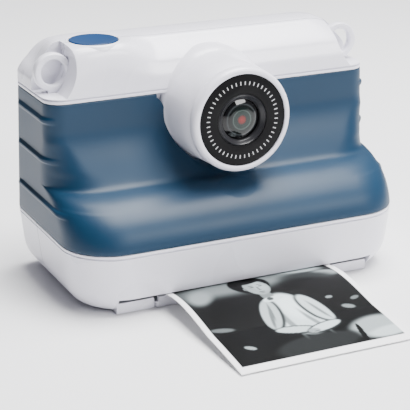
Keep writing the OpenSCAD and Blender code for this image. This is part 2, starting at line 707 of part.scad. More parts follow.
module main_board() {
    color("darkgreen") difference() {
        union() {
            box([-board_half, board_y - board_t, board_z0], [board_half, board_y, board_z1]);
            // tail that carries the sockets behind the port flap
            box([io_x0, board_y - board_t, port_z0 - 1], [io_x1, board_y, board_z0 + 1]);
        }
        for (p = board_screw_places) y_rod(0.8, p[0], board_y - board_t - 1, board_y + 1, p[1]);
    }
}
module usb_socket() { color("silver") y_plate(usb_x - 4.5, usb_x + 4.5, port_mid - 1.65, port_mid + 1.65, board_y, port_floor - 0.3, 1.6); }
module card_socket() { color("silver") box([card_x - 5.8, board_y, port_mid - 0.6], [card_x + 5.8, port_floor - 0.3, port_mid + 0.6]); }
module port_flap() {
    g = 0.25;
    color("steelblue") union() {
        y_plate(port_x0 + g, port_x1 - g, flap_hinge_z + 0.4, port_z1 - g, back_y - 0.3 - flap_t, back_y - 0.3, 1);
        x_rod(0.9, port_x0 + g, port_x1 - g, flap_hinge_y, flap_hinge_z);
        x_rod(flap_peg_r, port_x0 - 0.8, port_x1 + 0.8, flap_hinge_y, flap_hinge_z);
    }
}
module speaker() {
    color("dimgray") union() {
        y_rod(speaker_r, key_x, rear_in - 4.6, rear_in - 1.2, speaker_z);
        y_rod(speaker_r - 2.5, key_x, rear_in - 6, rear_in - 4.5, speaker_z);
    }
}
battery_x = 12;
module battery() {
    color("silver") box([battery_x, board_y - board_t - 8, roll_z + roll_r + 3],
        [battery_x + 30, board_y - board_t, cover_z - 3]);
}

// ---- printer -------------------------------------------------------------------
head_y0 = platen_y - 6;
head_y1 = platen_y + 0.6;
head_z = nip_z + paper_t;
module printer_frame() {
    color("gray") difference() {
        union() {
            for (s = [-1, 1]) {
                x0 = s < 0 ? -frame_x - frame_t : frame_x;
                box([x0, front_y + 7.5, 2.4], [x0 + frame_t, platen_y + 9, 15.5]);
                box([x0, platen_y + 7, 10], [x0 + frame_t, roll_y + 4, roll_z + 4]);
                // nose that holds the tear bar
                box([x0, slot_y + 1, slot_z + 0.5], [x0 + frame_t, front_y + 8, slot_z + 4]);
            }
            box([-frame_x - 0.1, head_y0 - 1.2, 14.2], [frame_x + 0.1, head_y1, 15.5]);
            box([-frame_x - 0.1, head_y0 - 1.4, 11], [frame_x + 0.1, head_y0 - 0.2, 15.5]);
        }
        x_rod(2, -frame_x - 2, frame_x + 2, platen_y, platen_z);
        x_rod(journal_r + run_fit, -frame_x - 2, frame_x + 2, roll_y, roll_z);
        x_rod(shaft_r, -frame_x - 2, 0, idler_y, idler_z);
    }
}
module print_head() { color("wheat") box([-paper_w / 2 + 0.5, head_y0, head_z], [paper_w / 2 - 0.5, head_y1, head_z + 1]); }
module head_heatsink() { color("silver") box([-paper_w / 2, head_y0, head_z + 1], [paper_w / 2, head_y1, 12]); }
module head_springs() {
    color("silver") for (x = [-18, 0, 18]) difference() {
        z_rod(1.6, x, platen_y - 3, 12, 14.2);
        z_rod(1.1, x, platen_y - 3, 11, 15);
    }
}
module platen_roller() {
    color("dimgray") difference() {
        x_rod(platen_r, -paper_w / 2 + 0.5, paper_w / 2 - 0.5, platen_y, platen_z);
        x_rod(shaft_r, -paper_w, paper_w, platen_y, platen_z);
    }
}
module platen_shaft() { color("silver") x_rod(shaft_r, gear_x0, frame_x + frame_t + 0.6, platen_y, platen_z); }
module platen_bushes() {
    color("ivory") for (x = [-frame_x - frame_t, frame_x]) difference() {
        x_rod(2, x, x + frame_t, platen_y, platen_z);
        x_rod(shaft_r + run_fit, x - 1, x + 3, platen_y, platen_z);
    }
}
// a spur gear in the XY plane with a tooth on the +X axis
module spur(teeth, m) {
    r = teeth * m / 2;
    tip = r + 0.8 * m;
    root = r - 1.1 * m;
    step = 360 / teeth;
    polygon([for (i = [0:teeth - 1]) each [
        [root * cos((i - 0.32) * step), root * sin((i - 0.32) * step)],
        [tip * cos((i - 0.13) * step), tip * sin((i - 0.13) * step)],
        [tip * cos((i + 0.13) * step), tip * sin((i + 0.13) * step)],
        [root * cos((i + 0.32) * step), root * sin((i + 0.32) * step)]]]);
}
// the gear stands in the YZ plane; its phase is an angle from +Y towards +Z
module x_gear(teeth, phase, bore, y, z) {
    translate([gear_x0, y, z]) rotate([90, 0, 90]) difference() {
        rotate(phase) linear_extrude(gear_x1 - gear_x0) spur(teeth, gear_m);
        translate([0, 0, -1]) cylinder(h = 4, r = bore);
    }
}
// phase of gear b so that it meshes with gear a, whose phase is pa, along the line at angle line
function mesh_phase(na, pa, nb, line) = line + 180 - na / nb * (pa - line) - 180 / nb;
idler_phase = 0;
platen_phase = mesh_phase(idler_teeth, idler_phase, platen_teeth, idler_angle + 180);
pinion_phase = mesh_phase(idler_teeth, idler_phase, pinion_teeth, pinion_angle);
module platen_gear() { color("white") x_gear(platen_teeth, platen_phase, shaft_r, platen_y, platen_z); }
module idler_gear() { color("white") x_gear(idler_teeth, idler_phase, shaft_r + run_fit, idler_y, idler_z); }
module idler_axle() { color("silver") x_rod(shaft_r, gear_x0 - 0.4, -frame_x, idler_y, idler_z); }
pinion_bore = 0.6;
module motor_pinion() { color("goldenrod") union() {
    x_gear(pinion_teeth, pinion_phase, pinion_bore, pinion_y, pinion_z);
    x_rod(pinion_bore, bracket_x0 - 1, gear_x1, pinion_y, pinion_z); } }
module printer_motor() {
    color("silver") difference() {
        x_rod(motor_r, bracket_x0 - 9, bracket_x0, pinion_y, pinion_z);
        x_rod(pinion_bore + run_fit, bracket_x0 - 1.5, bracket_x0 + 1, pinion_y, pinion_z);
    }
}
module motor_bracket() {
    posts = [[pinion_y + 6.2, pinion_z - 8], [pinion_y - 3.8, pinion_z + 3.7]];
    color("gray") difference() {
        union() {
            box([bracket_x0, platen_y - 5, 11], [bracket_x1, pinion_y + 8, pinion_z + 5]);
            for (p = posts) box([bracket_x0, p[0] - 1.2, p[1] - 1.2],
                [-frame_x - frame_t, p[0] + 1.2, p[1] + 1.2]);
        }
        x_rod(2.2, bracket_x0 - 1, bracket_x1 + 1, pinion_y, pinion_z);
    }
}
module paper_roll() {
    color("white") difference() {
        x_rod(roll_r, -paper_w / 2, paper_w / 2, roll_y, roll_z, $fn = 96);
        x_rod(core_r, -paper_w, paper_w, roll_y, roll_z);
    }
}
module roll_core() {
    color("tan") difference() {
        x_rod(core_r, -paper_w / 2, paper_w / 2, roll_y, roll_z);
        x_rod(spindle_r, -paper_w, paper_w, roll_y, roll_z);
    }
}
module roll_spindle() {
    color("lightgray") union() {
        x_rod(spindle_r, -paper_w / 2 - 0.8, paper_w / 2 + 0.8, roll_y, roll_z);
        x_rod(journal_r, -frame_x - frame_t - 0.2, frame_x + frame_t + 0.2, roll_y, roll_z);
    }
}
// paper between the roll and the nip, and on to the slot
module sheet_along(side) {
    color("white") translate([-paper_w / 2, 0, 0]) rotate([90, 0, 90]) linear_extrude(paper_w) polygon(side);
}
module paper_web() {
    flat = 1;
    inner = turn_r - flat;
    outer = inner + paper_t;
    cy = platen_y + flat;
    cz = nip_z + outer;
    bend_y = platen_y - 2.2;
    exit_y = slot_y + 3.5;
    sheet_along(concat([[cy + inner - 0.05, roll_z - 4]],
        [for (a = [0:-7.5:-90]) [cy + inner * cos(a) - 0.05, cz + inner * sin(a)]],
        [[bend_y, nip_z + paper_t], [exit_y, slot_z + 0.6 + paper_t], [exit_y, slot_z + 0.6],
            [bend_y, nip_z]],
        [for (a = [-90:7.5:0]) [cy + outer * cos(a) - 0.05, cz + outer * sin(a)]],
        [[cy + outer - 0.05, roll_z - 4]]));
}
// The print leaves the slot level, rises a little and curls down to the table.
print_y0 = slot_y + 3.2;
function print_rise(t) = slot_z + 2.3 * sin(180 * clamp01(t / 0.62)) * (1 - t)
    - (slot_z - 0.25) * pow(clamp01((t - 0.12) / 0.88), 1.9);
print_steps = 24;
module print_sheet() {
    top = [for (i = [0:print_steps]) let (t = i / print_steps) [print_y0 - print_out * t, print_rise(t) + paper_t]];
    low = [for (i = [print_steps:-1:0]) let (t = i / print_steps) [print_y0 - print_out * t, print_rise(t)]];
    sheet_along(concat(low, top));
}
module tear_bar() {
    teeth = 36;
    pitch = 2 * frame_x / teeth;
    y0 = slot_y + 1.2;
    color("silver") translate([-frame_x, 0, slot_z + 1]) linear_extrude(0.4) polygon(concat(
        [[2 * frame_x, y0 + 1.4], [0, y0 + 1.4]],
        [for (i = [0:teeth - 1]) each [[i * pitch, y0], [(i + 0.5) * pitch, y0 - 0.6]]],
        [[2 * frame_x, y0]]));
}

// ---- fasteners --------------------------------------------------------------------
// a pan-head screw with a cross recess, head up at the origin
module screw(r, len) {
    difference() {
        union() {
            translate([0, 0, -len]) cylinder(h = len, r = r);
            cylinder(h = r * 1.1, r = r * 2);
        }
        for (a = [0, 90]) rotate(a) translate([-r * 1.2, -r * 0.25, r * 0.4]) cube([r * 2.4, r * 0.5, r]);
    }
}
module housing_screws() {
    color("silver") for (p = screw_places) translate([p[0], back_y - 3.2, p[1]]) rotate([-90, 0, 0])
        screw(screw_r, back_y - 3.2 - split_y + 7.5);
}
module base_screws() {
    color("silver") for (p = base_screw_places) translate([p[0], p[1], screw_sink]) rotate([180, 0, 0])
        screw(screw_r, 6);
}
module board_screws() {
    color("silver") for (p = board_screw_places) translate([p[0], board_y - board_t, p[1]]) rotate([90, 0, 0])
        screw(0.8, 3.2);
}

front_housing();
rear_housing();
grip_sleeve();
base_plate();
strap_lug_left();
strap_lug_right();
lens_face();
lens_bezel();
front_lens();
lens_tube();
rear_lens();
lens_holder();
sensor_board();
sensor_flex();
shutter_button();
shutter_spring();
shutter_switch();
screen_window();
screen_gasket();
lcd_panel();
main_board();
button_mat();
ok_button();
up_button();
down_button();
left_button();
right_button();
menu_button();
print_button();
power_button();
status_led();
speaker();
usb_socket();
card_socket();
port_flap();
battery();
printer_frame();
print_head();
head_heatsink();
head_springs();
platen_roller();
platen_shaft();
platen_bushes();
platen_gear();
idler_gear();
idler_axle();
motor_pinion();
printer_motor();
motor_bracket();
paper_roll();
roll_core();
roll_spindle();
paper_web();
print_sheet();
tear_bar();
paper_door();
door_hinge_pin();
housing_screws();
base_screws();
board_screws();
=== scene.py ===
import math

import bmesh
import bpy
from mathutils import Matrix, Vector


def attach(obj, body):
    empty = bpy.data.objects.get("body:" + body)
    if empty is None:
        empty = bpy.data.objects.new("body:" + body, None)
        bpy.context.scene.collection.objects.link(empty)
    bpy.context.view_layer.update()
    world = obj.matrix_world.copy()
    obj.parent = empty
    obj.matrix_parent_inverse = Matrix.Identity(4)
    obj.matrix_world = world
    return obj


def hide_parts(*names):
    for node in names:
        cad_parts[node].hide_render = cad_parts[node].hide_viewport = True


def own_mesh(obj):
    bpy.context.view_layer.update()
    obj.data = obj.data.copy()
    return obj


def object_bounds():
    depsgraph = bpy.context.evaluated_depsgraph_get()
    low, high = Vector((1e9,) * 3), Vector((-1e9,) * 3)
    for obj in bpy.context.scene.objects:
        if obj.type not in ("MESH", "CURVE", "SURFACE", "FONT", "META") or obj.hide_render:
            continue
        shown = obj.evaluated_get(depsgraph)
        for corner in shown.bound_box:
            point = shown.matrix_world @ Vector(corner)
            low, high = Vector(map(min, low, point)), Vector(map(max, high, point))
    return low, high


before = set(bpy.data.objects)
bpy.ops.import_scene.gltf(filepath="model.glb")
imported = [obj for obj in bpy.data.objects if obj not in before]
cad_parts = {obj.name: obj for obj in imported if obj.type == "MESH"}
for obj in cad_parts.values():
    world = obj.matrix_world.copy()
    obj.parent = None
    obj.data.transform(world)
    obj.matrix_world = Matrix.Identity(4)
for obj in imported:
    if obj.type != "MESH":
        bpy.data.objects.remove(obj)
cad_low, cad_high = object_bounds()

# ---- Camera, floor and lights ------------------------------------------------------
# The camera stands a little to the left of the lens's own axis and above it. The floor
# is one pale sweep, lit by two big soft panels as a product table is.
camera_place = Vector((-0.19306, -0.40192, 0.17919))
camera_azimuth = math.radians(-25.38)
camera_elevation = math.radians(19.58)
camera_lens = 127.7

camera_data = bpy.data.cameras.new("camera")
camera_data.lens = camera_lens
camera_data.sensor_width = 36.0
camera_data.clip_start = 0.01
camera = bpy.data.objects.new("camera", camera_data)
bpy.context.collection.objects.link(camera)
back = Vector((math.sin(camera_azimuth) * math.cos(camera_elevation),
               -math.cos(camera_azimuth) * math.cos(camera_elevation),
               math.sin(camera_elevation)))
camera.location = camera_place
camera.rotation_euler = (-back).to_track_quat("-Z", "Y").to_euler()
bpy.context.scene.camera = camera


def wire(tree, *pairs):
    """Links each output to its input in a node tree."""
    for source, target in pairs:
        tree.links.new(source, target)


floor_half = 3.0
floor_mesh = bmesh.new()
bmesh.ops.create_grid(floor_mesh, x_segments=8, y_segments=8, size=floor_half)
floor_data = bpy.data.meshes.new("floor")
floor_mesh.to_mesh(floor_data)
floor_mesh.free()
floor = bpy.data.objects.new("floor", floor_data)
floor.location.z = cad_low.z - 0.0002
bpy.context.collection.objects.link(floor)

floor_finish = bpy.data.materials.new("studio_floor")
floor_finish.use_nodes = True
floor_shader = floor_finish.node_tree.nodes["Principled BSDF"]
floor_shader.inputs["Roughness"].default_value = 0.6
floor_tone = floor_finish.node_tree.nodes.new("ShaderNodeTexNoise")
floor_tone.inputs["Scale"].default_value = 2.0
floor_ramp = floor_finish.node_tree.nodes.new("ShaderNodeValToRGB")
floor_ramp.color_ramp.elements[0].color = (0.83, 0.83, 0.84, 1)
floor_ramp.color_ramp.elements[1].color = (0.87, 0.87, 0.88, 1)
wire(floor_finish.node_tree, (floor_tone.outputs["Fac"], floor_ramp.inputs["Fac"]),
     (floor_ramp.outputs["Color"], floor_shader.inputs["Base Color"]))
floor_data.materials.append(floor_finish)

world = bpy.data.worlds.new("studio")
world.use_nodes = True
world_nodes = world.node_tree.nodes
world_nodes["Background"].inputs["Strength"].default_value = 0.50
# the room is dim on the left and bright on the right, so that the object's left side falls into shade
world_place = world_nodes.new("ShaderNodeTexCoord")
world_axes = world_nodes.new("ShaderNodeSeparateXYZ")
world_fade = world_nodes.new("ShaderNodeMapRange")
world_fade.inputs["From Min"].default_value = -0.75
world_fade.inputs["From Max"].default_value = 0.65
world_ramp = world_nodes.new("ShaderNodeValToRGB")
world_ramp.color_ramp.elements[0].color = (0.10, 0.10, 0.13, 1)
world_ramp.color_ramp.elements[1].color = (0.90, 0.91, 0.96, 1)
wire(world.node_tree,
     (world_place.outputs["Generated"], world_axes.inputs["Vector"]),
     (world_axes.outputs["X"], world_fade.inputs["Value"]),
     (world_fade.outputs["Result"], world_ramp.inputs["Fac"]),
     (world_ramp.outputs["Color"], world_nodes["Background"].inputs["Color"]))
bpy.context.scene.world = world

object_middle = (cad_low + cad_high) / 2


def soft_panel(name, place, width, height, watts):
    """One soft box that points at the middle of the camera body."""
    panel_data = bpy.data.lights.new(name, "AREA")
    panel_data.shape = "RECTANGLE"
    panel_data.size, panel_data.size_y = width, height
    panel_data.energy = watts
    panel = bpy.data.objects.new(name, panel_data)
    panel.location = place
    aim = object_middle - Vector(place)
    panel.rotation_euler = aim.to_track_quat("-Z", "Y").to_euler()
    bpy.context.collection.objects.link(panel)


soft_panel("top_panel", (0.16, -0.02, 0.75), 0.7, 0.5, 24.0)
soft_panel("front_panel", (0.42, -0.85, 0.55), 0.5, 0.2, 7.0)

# ---- Housing shell -----------------------------------------------------------------
# Two injection-moulded ABS halves, glossy white with a cold tint, screwed together from
# the back. They meet on one upright plane and share an outline that swells at the foot,
# sits back under the grip sleeve and leans back over the top cover.
MM = 0.001

body_height, body_depth = 77.0, 58.8
base_width, cover_width = 113.6, 111.0
base_height, cover_bottom = 20.3, 60.9
cover_height = body_height - cover_bottom
grip_height = cover_bottom - base_height
front_y, back_y = -body_depth / 2, body_depth / 2
cover_front_y = back_y - 32.0
split_y = back_y - 20.0
wall = 2.0
sleeve_thickness = 2.2
core_inset = sleeve_thickness + 0.1
bulge_low = base_height - 1.3
bulge_top = base_height + 0.352 * grip_height
bulge_y = cover_front_y - 8.4
foot_height, foot_inset = 9.0, 6.5


def share(value):
    """Clamps a share to the range 0 to 1."""
    return min(1.0, max(0.0, value))


def ease(value):
    """A soft step from 0 to 1."""
    value = share(value)
    return value * value * (3 - 2 * value)


def along(table, t):
    """Reads a short table of (t, value) pairs at t, with straight lines between them."""
    for (t0, v0), (t1, v1) in zip(table, table[1:]):
        if t <= t1:
            return v0 + (v1 - v0) * share((t - t0) / (t1 - t0))
    return table[-1][1]


# how far the top cover's ends, front and back have come in at a share of its height
cover_end = [(0, 0), (0.32, 0), (0.45, 1.4), (0.57, 3.4), (0.8, 6.6), (0.93, 9.2), (1, 13)]
cover_front = [(0, 0), (0.35, 0.9), (0.6, 2.6), (0.7, 4.2), (0.8, 6.8), (0.9, 9.4), (1, 11)]
cover_back = [(0, 0), (0.66, 0), (0.78, 0.7), (0.87, 2.2), (0.93, 4.6), (0.97, 8.5), (1, 15)]


def foot_in(z):
    return foot_inset * (1 - math.sqrt(1 - (1 - share(z / foot_height)) ** 2))


def half_width(z):
    if z < base_height:
        return base_width / 2 - 2.4 * (base_height - z) / base_height - foot_in(z)
    if z < cover_bottom:
        return base_width / 2 - (base_width - cover_width) / 2 * (z - base_height) / grip_height
    return cover_width / 2 - along(cover_end, (z - cover_bottom) / cover_height)


def front_at(z):
    if z < base_height:
        return front_y + 0.6 * (base_height - z) / base_height + foot_in(z)
    if z < bulge_top:
        rise = (z - bulge_low) / (bulge_top - bulge_low)
        return bulge_y - (bulge_y - front_y) * math.sqrt(max(0, 1 - rise * rise))
    if z < cover_bottom:
        return cover_front_y - 8.4 * (1 - share((z - bulge_top) / (0.43 * grip_height))) ** 1.6
    return cover_front_y + along(cover_front, (z - cover_bottom) / cover_height)


def back_at(z):
    if z < base_height:
        return back_y - 0.6 * foot_in(z)
    return back_y - (along(cover_back, (z - cover_bottom) / cover_height) if z > cover_bottom else 0)


def front_corner(z):
    if z < base_height:
        return 16 - 2 * foot_in(z) / foot_inset
    return 16 - 10 * share((z - bulge_top) / (0.35 * grip_height))


def outline(z, inset, level=None):
    """One closed ring of points round the body at height z, moved in by inset."""
    level = z if level is None else level
    w = half_width(z) - inset
    f = front_at(z) + inset
    b = max(back_at(z) - inset, f + 2)
    rf = max(0.5, min(front_corner(z) - inset, b - f - 1, w))
    rr = max(0.5, min(4 - inset / 2, b - f - rf - 0.3))
    points = []
    corners = [(-w + rf, f + rf, rf, 180), (w - rf, f + rf, rf, 270),
               (w - rr, b - rr, rr, 0), (-w + rr, b - rr, rr, 90)]
    for k, (cx, cy, r, turn) in enumerate(corners):
        for step in range(11):
            angle = math.radians(turn + 9 * step)
            points.append((cx + r * math.cos(angle), cy + r * math.sin(angle), level))
        nx, ny, nr, nturn = corners[(k + 1) % 4]
        start = Vector(points[-1])
        end = Vector((nx + nr * math.cos(math.radians(nturn)),
                      ny + nr * math.sin(math.radians(nturn)), level))
        count = 70 if k in (0, 2) else 22
        points += [tuple(start.lerp(end, i / count)) for i in range(1, count)]
    return points


def add_ring(mesh, points):
    """Adds a closed ring of edges and returns them."""
    verts = [mesh.verts.new(p) for p in points]
    return [mesh.edges.new((a, b)) for a, b in zip(verts, verts[1:] + verts[:1])]


def bridge(mesh, rings):
    """Joins each ring to the next with faces."""
    for low, high in zip(rings, rings[1:]):
        bmesh.ops.bridge_loops(mesh, edges=low + high)


def new_piece(name, mesh, finish, body, slot, *nodes):
    """Turns a bmesh in millimetres into a piece in metres that rides on a body."""
    bmesh.ops.scale(mesh, vec=(MM, MM, MM), verts=mesh.verts)
    data = bpy.data.meshes.new(name)
    mesh.to_mesh(data)
    mesh.free()
    piece = bpy.data.objects.new(name, data)
    bpy.context.collection.objects.link(piece)
    if finish:
        data.materials.append(finish)
    if body:
        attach(piece, body)
        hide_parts(*nodes)
    return piece


def carve(mesh, cutter):
    """Cuts one closed bmesh out of another and gives back the result."""
    solid = new_piece("work_solid", mesh, None, None, None)
    tool = new_piece("work_tool", cutter, None, None, None)
    cut = solid.modifiers.new("cut", "BOOLEAN")
    cut.operation, cut.solver, cut.object = "DIFFERENCE", "EXACT", tool
    graph = bpy.context.evaluated_depsgraph_get()
    result_data = bpy.data.meshes.new_from_object(solid.evaluated_get(graph))
    result = bmesh.new()
    result.from_mesh(result_data)
    bmesh.ops.scale(result, vec=(1 / MM,) * 3, verts=result.verts)
    for item in (solid, tool):
        data = item.data
        bpy.data.objects.remove(item)
        bpy.data.meshes.remove(data)
    bpy.data.meshes.remove(result_data)
    return result


def soften(mesh, width, angle=35, segments=3):
    """Rounds every edge sharper than angle and shades the rest smooth."""
    bmesh.ops.dissolve_degenerate(mesh, dist=0.002, edges=mesh.edges)
    bmesh.ops.recalc_face_normals(mesh, faces=mesh.faces)
    sharp = [e for e in mesh.edges
             if e.is_manifold and e.calc_face_angle(0) > math.radians(angle)]
    if width:
        bmesh.ops.bevel(mesh, geom=sharp, offset=width, offset_type="OFFSET", affect="EDGES",
                        segments=segments, profile=0.5, material=-1, clamp_overlap=True)
    for face in mesh.faces:
        face.smooth = True
    for edge in mesh.edges:
        edge.smooth = not (edge.is_manifold and edge.calc_face_angle(0) > math.radians(42))


def rod(mesh, radius, start, end, segments=64):
    """Adds a closed cylinder between two points."""
    start, end = Vector(start), Vector(end)
    turn = (end - start).to_track_quat("Z", "Y").to_matrix().to_4x4()
    place = Matrix.Translation((start + end) / 2) @ turn
    bmesh.ops.create_cone(mesh, cap_ends=True, segments=segments, radius1=radius,
                          radius2=radius, depth=(end - start).length, matrix=place)


def block(mesh, low, high):
    """Adds a closed box between two corners."""
    low, high = Vector(low), Vector(high)
    size = high - low
    place = Matrix.Translation((low + high) / 2) @ Matrix.Diagonal((*size, 1))
    bmesh.ops.create_cube(mesh, size=1, matrix=place)


# Every moulded or painted surface shares one fine grain: a soft unevenness in tone, a
# matching change in gloss and the tiny texture that the mould leaves.
grain = bpy.data.node_groups.new("mould_grain", "ShaderNodeTree")
for socket, way, kind in (("Size", "INPUT", "Float"), ("Roughness", "INPUT", "Float"),
                          ("Light", "INPUT", "Color"), ("Dark", "INPUT", "Color"),
                          ("Color", "OUTPUT", "Color"), ("Roughness", "OUTPUT", "Float"),
                          ("Height", "OUTPUT", "Float")):
    grain.interface.new_socket(socket, in_out=way, socket_type="NodeSocket" + kind)
grain_in = grain.nodes.new("NodeGroupInput")
grain_out = grain.nodes.new("NodeGroupOutput")
grain_place = grain.nodes.new("ShaderNodeTexCoord")
grain_fine = grain.nodes.new("ShaderNodeTexNoise")
grain_fine.inputs["Detail"].default_value = 3.0
grain_broad = grain.nodes.new("ShaderNodeTexNoise")
grain_broad.inputs["Scale"].default_value = 38.0
grain_broad.inputs["Detail"].default_value = 2.0
grain_mix = grain.nodes.new("ShaderNodeMix")
grain_mix.data_type = "RGBA"
grain_gloss = grain.nodes.new("ShaderNodeMath")
grain_gloss.operation = "MULTIPLY_ADD"
grain_gloss.inputs[1].default_value = 0.10
grain_base = grain.nodes.new("ShaderNodeMath")
grain_base.operation = "SUBTRACT"
grain_base.inputs[1].default_value = 0.05
wire(grain,
     (grain_place.outputs["Object"], grain_fine.inputs["Vector"]),
     (grain_place.outputs["Object"], grain_broad.inputs["Vector"]),
     (grain_in.outputs["Size"], grain_fine.inputs["Scale"]),
     (grain_broad.outputs["Fac"], grain_mix.inputs["Factor"]),
     (grain_in.outputs["Dark"], grain_mix.inputs["A"]),
     (grain_in.outputs["Light"], grain_mix.inputs["B"]),
     (grain_in.outputs["Roughness"], grain_base.inputs[0]),
     (grain_broad.outputs["Fac"], grain_gloss.inputs[0]),
     (grain_base.outputs["Value"], grain_gloss.inputs[2]),
     (grain_mix.outputs["Result"], grain_out.inputs["Color"]),
     (grain_gloss.outputs["Value"], grain_out.inputs["Roughness"]),
     (grain_fine.outputs["Fac"], grain_out.inputs["Height"]))


def grained(name, light, dark, roughness, size=2500.0, depth=0.05, **sockets):
    """A material with the mould grain; other sockets are set on its own shader."""
    finish = bpy.data.materials.new(name)
    finish.use_nodes = True
    nodes = finish.node_tree.nodes
    shader = nodes["Principled BSDF"]
    texture = nodes.new("ShaderNodeGroup")
    texture.node_tree = grain
    texture.name = "grain"
    texture.inputs["Size"].default_value = size
    texture.inputs["Roughness"].default_value = roughness
    texture.inputs["Light"].default_value = (*light, 1)
    texture.inputs["Dark"].default_value = (*dark, 1)
    bump = nodes.new("ShaderNodeBump")
    bump.name = "bump"
    bump.inputs["Strength"].default_value = depth
    bump.inputs["Distance"].default_value = 0.0002
    wire(finish.node_tree,
         (texture.outputs["Color"], shader.inputs["Base Color"]),
         (texture.outputs["Roughness"], shader.inputs["Roughness"]),
         (texture.outputs["Height"], bump.inputs["Height"]),
         (bump.outputs["Normal"], shader.inputs["Normal"]))
    for socket, value in sockets.items():
        shader.inputs[socket.replace("_", " ")].default_value = value
    return finish


white_finish = grained("white_abs", (0.80, 0.79, 0.86), (0.76, 0.75, 0.83), 0.28,
                       size=3000.0, depth=0.03, Coat_Weight=0.25, Coat_Roughness=0.12)
# a hairline of shadow where the two halves meet
line_half_width = 0.00014
line_place = white_finish.node_tree.nodes.new("ShaderNodeTexCoord")
line_axes = white_finish.node_tree.nodes.new("ShaderNodeSeparateXYZ")
line_offset = white_finish.node_tree.nodes.new("ShaderNodeMath")
line_offset.operation = "SUBTRACT"
line_offset.inputs[1].default_value = split_y * MM
line_distance = white_finish.node_tree.nodes.new("ShaderNodeMath")
line_distance.operation = "ABSOLUTE"
line_mask = white_finish.node_tree.nodes.new("ShaderNodeMath")
line_mask.operation = "LESS_THAN"
line_mask.inputs[1].default_value = line_half_width
line_colour = white_finish.node_tree.nodes.new("ShaderNodeMix")
line_colour.data_type = "RGBA"
line_colour.inputs["B"].default_value = (0.22, 0.22, 0.27, 1)
white_nodes = white_finish.node_tree.nodes
wire(white_finish.node_tree,
     (line_place.outputs["Object"], line_axes.inputs["Vector"]),
     (line_axes.outputs["Y"], line_offset.inputs[0]),
     (line_offset.outputs["Value"], line_distance.inputs[0]),
     (line_distance.outputs["Value"], line_mask.inputs[0]),
     (line_mask.outputs["Value"], line_colour.inputs["Factor"]),
     (white_nodes["grain"].outputs["Color"], line_colour.inputs["A"]),
     (line_colour.outputs["Result"], white_nodes["Principled BSDF"].inputs["Base Color"]))

panel_half = 45.9        # half width of the white panel between the sleeve's rear lips
panel_step = 0.75
panel_inner_y = back_y - wall
panel_from, panel_to = 18.0, 63.0


def white_ring(z, inset, level=None, panel_y=back_y):
    """An outline ring whose back runs straight behind the rear panel."""
    points = []
    height = z if level is None else level
    for x, y, ring_z in outline(z, inset, level):
        if panel_from < height < panel_to and y > 20 and abs(x) < panel_half + 2 * panel_step:
            if abs(x) < panel_half:
                y = panel_y
                x = math.copysign(panel_half, x) if abs(x) > panel_half - panel_step else x
            else:
                x = math.copysign(panel_half + 0.05, x)
        points.append((x, y, ring_z))
    return points


def behind_skin(level, inset):
    """A ring that keeps its distance from the skin, under the leaning front as well."""
    drop = (inset + 0.1) * ease((cover_bottom - 2 - level) / 10)
    return level + drop, inset, level


shell = bmesh.new()
bead_depth = 0.55
outer = [(z, 0, z) for z in (0, 0.15, 0.5, 1, 1.6, 2.4, 3.3, 4.3, 5.4, 6.6, 7.8, 9, 11, 13, 15, 17)]
outer += [(18.9, 0, 18.9), (19.05, bead_depth, 19.05), (19.3, bead_depth, 19.3), (19.45, 0, 19.45),
          (20.0, 0, 20.0), (20.2, 0.1, 20.2), (20.28, 0.4, 20.28)]
outer += [behind_skin(20.3 + 0.58 * k, core_inset) for k in range(70)]
outer += [(60.92, 0.4, 60.92), (61.0, 0.1, 61.0), (61.2, 0, 61.2), (61.75, 0, 61.75),
          (61.9, bead_depth, 61.9), (62.15, bead_depth, 62.15), (62.3, 0, 62.3)]
outer += [(62.7 + 0.47 * k, 0, 62.7 + 0.47 * k) for k in range(30)]
outer += [(body_height - 0.3, 0, body_height - 0.3), (body_height, 0, body_height - 0.05)]
outer_rings = [add_ring(shell, white_ring(*ring)) for ring in outer]
crown_levels = (63, 65, 67, 69, 71, 72.5, 73.5, 74.3)
inner = [(z, wall, z) for z in (0.3, 1, 2.4, 4.5, 7, 10, 14, 18.2)]
inner += [behind_skin(z, core_inset + wall)
          for z in (18.3, 22, 25, 28, 31, 34, 37, 41, 46, 52, 57, 59.3, 62.8)]
inner += [(z + wall * share((z - cover_bottom) / 12), wall, z) for z in crown_levels]
inner_rings = []
pocket_wall_x = 43.3     # the hollow stops short of the pockets scooped beside the lugs
for z, inset, level in inner:
    points = white_ring(z, inset, level, panel_y=panel_inner_y)
    if level > cover_bottom - 2:
        squeeze = pocket_wall_x / max(p[0] for p in points)
        points = [(x * min(1.0, squeeze), y, ring_z) for x, y, ring_z in points]
    inner_rings.append(add_ring(shell, points))
bridge(shell, outer_rings)
bridge(shell, inner_rings)
bridge(shell, [outer_rings[0], inner_rings[0]])
bmesh.ops.triangle_fill(shell, edges=outer_rings[-1], use_beauty=True)
bmesh.ops.triangle_fill(shell, edges=inner_rings[-1], use_beauty=True)

# the cover rises softly to the shutter button's pad, and its creases are eased
button_x, button_y = -(cover_width / 2 - 19.5), split_y
button_radius = 7.6
pad_z = body_height + 0.2
pad_rim = button_radius + 1.4
pad_reach = 11.0
crown_from = cover_bottom + 2.4
for vert in shell.verts:
    if vert.co.z > crown_from and not any(abs(vert.co.z - z) < 0.01 for z in crown_levels):
        distance = math.hypot(vert.co.x - button_x, vert.co.y - button_y)
        rise = ease((pad_rim + pad_reach - distance) / pad_reach)
        vert.co.z += (pad_z - 0.1 - vert.co.z) * rise * share((vert.co.z - crown_from) / 9)
top_verts = [v for v in shell.verts if v.co.z > cover_bottom + 3]
for _ in range(4):
    bmesh.ops.smooth_vert(shell, verts=top_verts, factor=0.5,
                          use_axis_x=True, use_axis_y=True, use_axis_z=True)
bmesh.ops.recalc_face_normals(shell, faces=shell.faces)

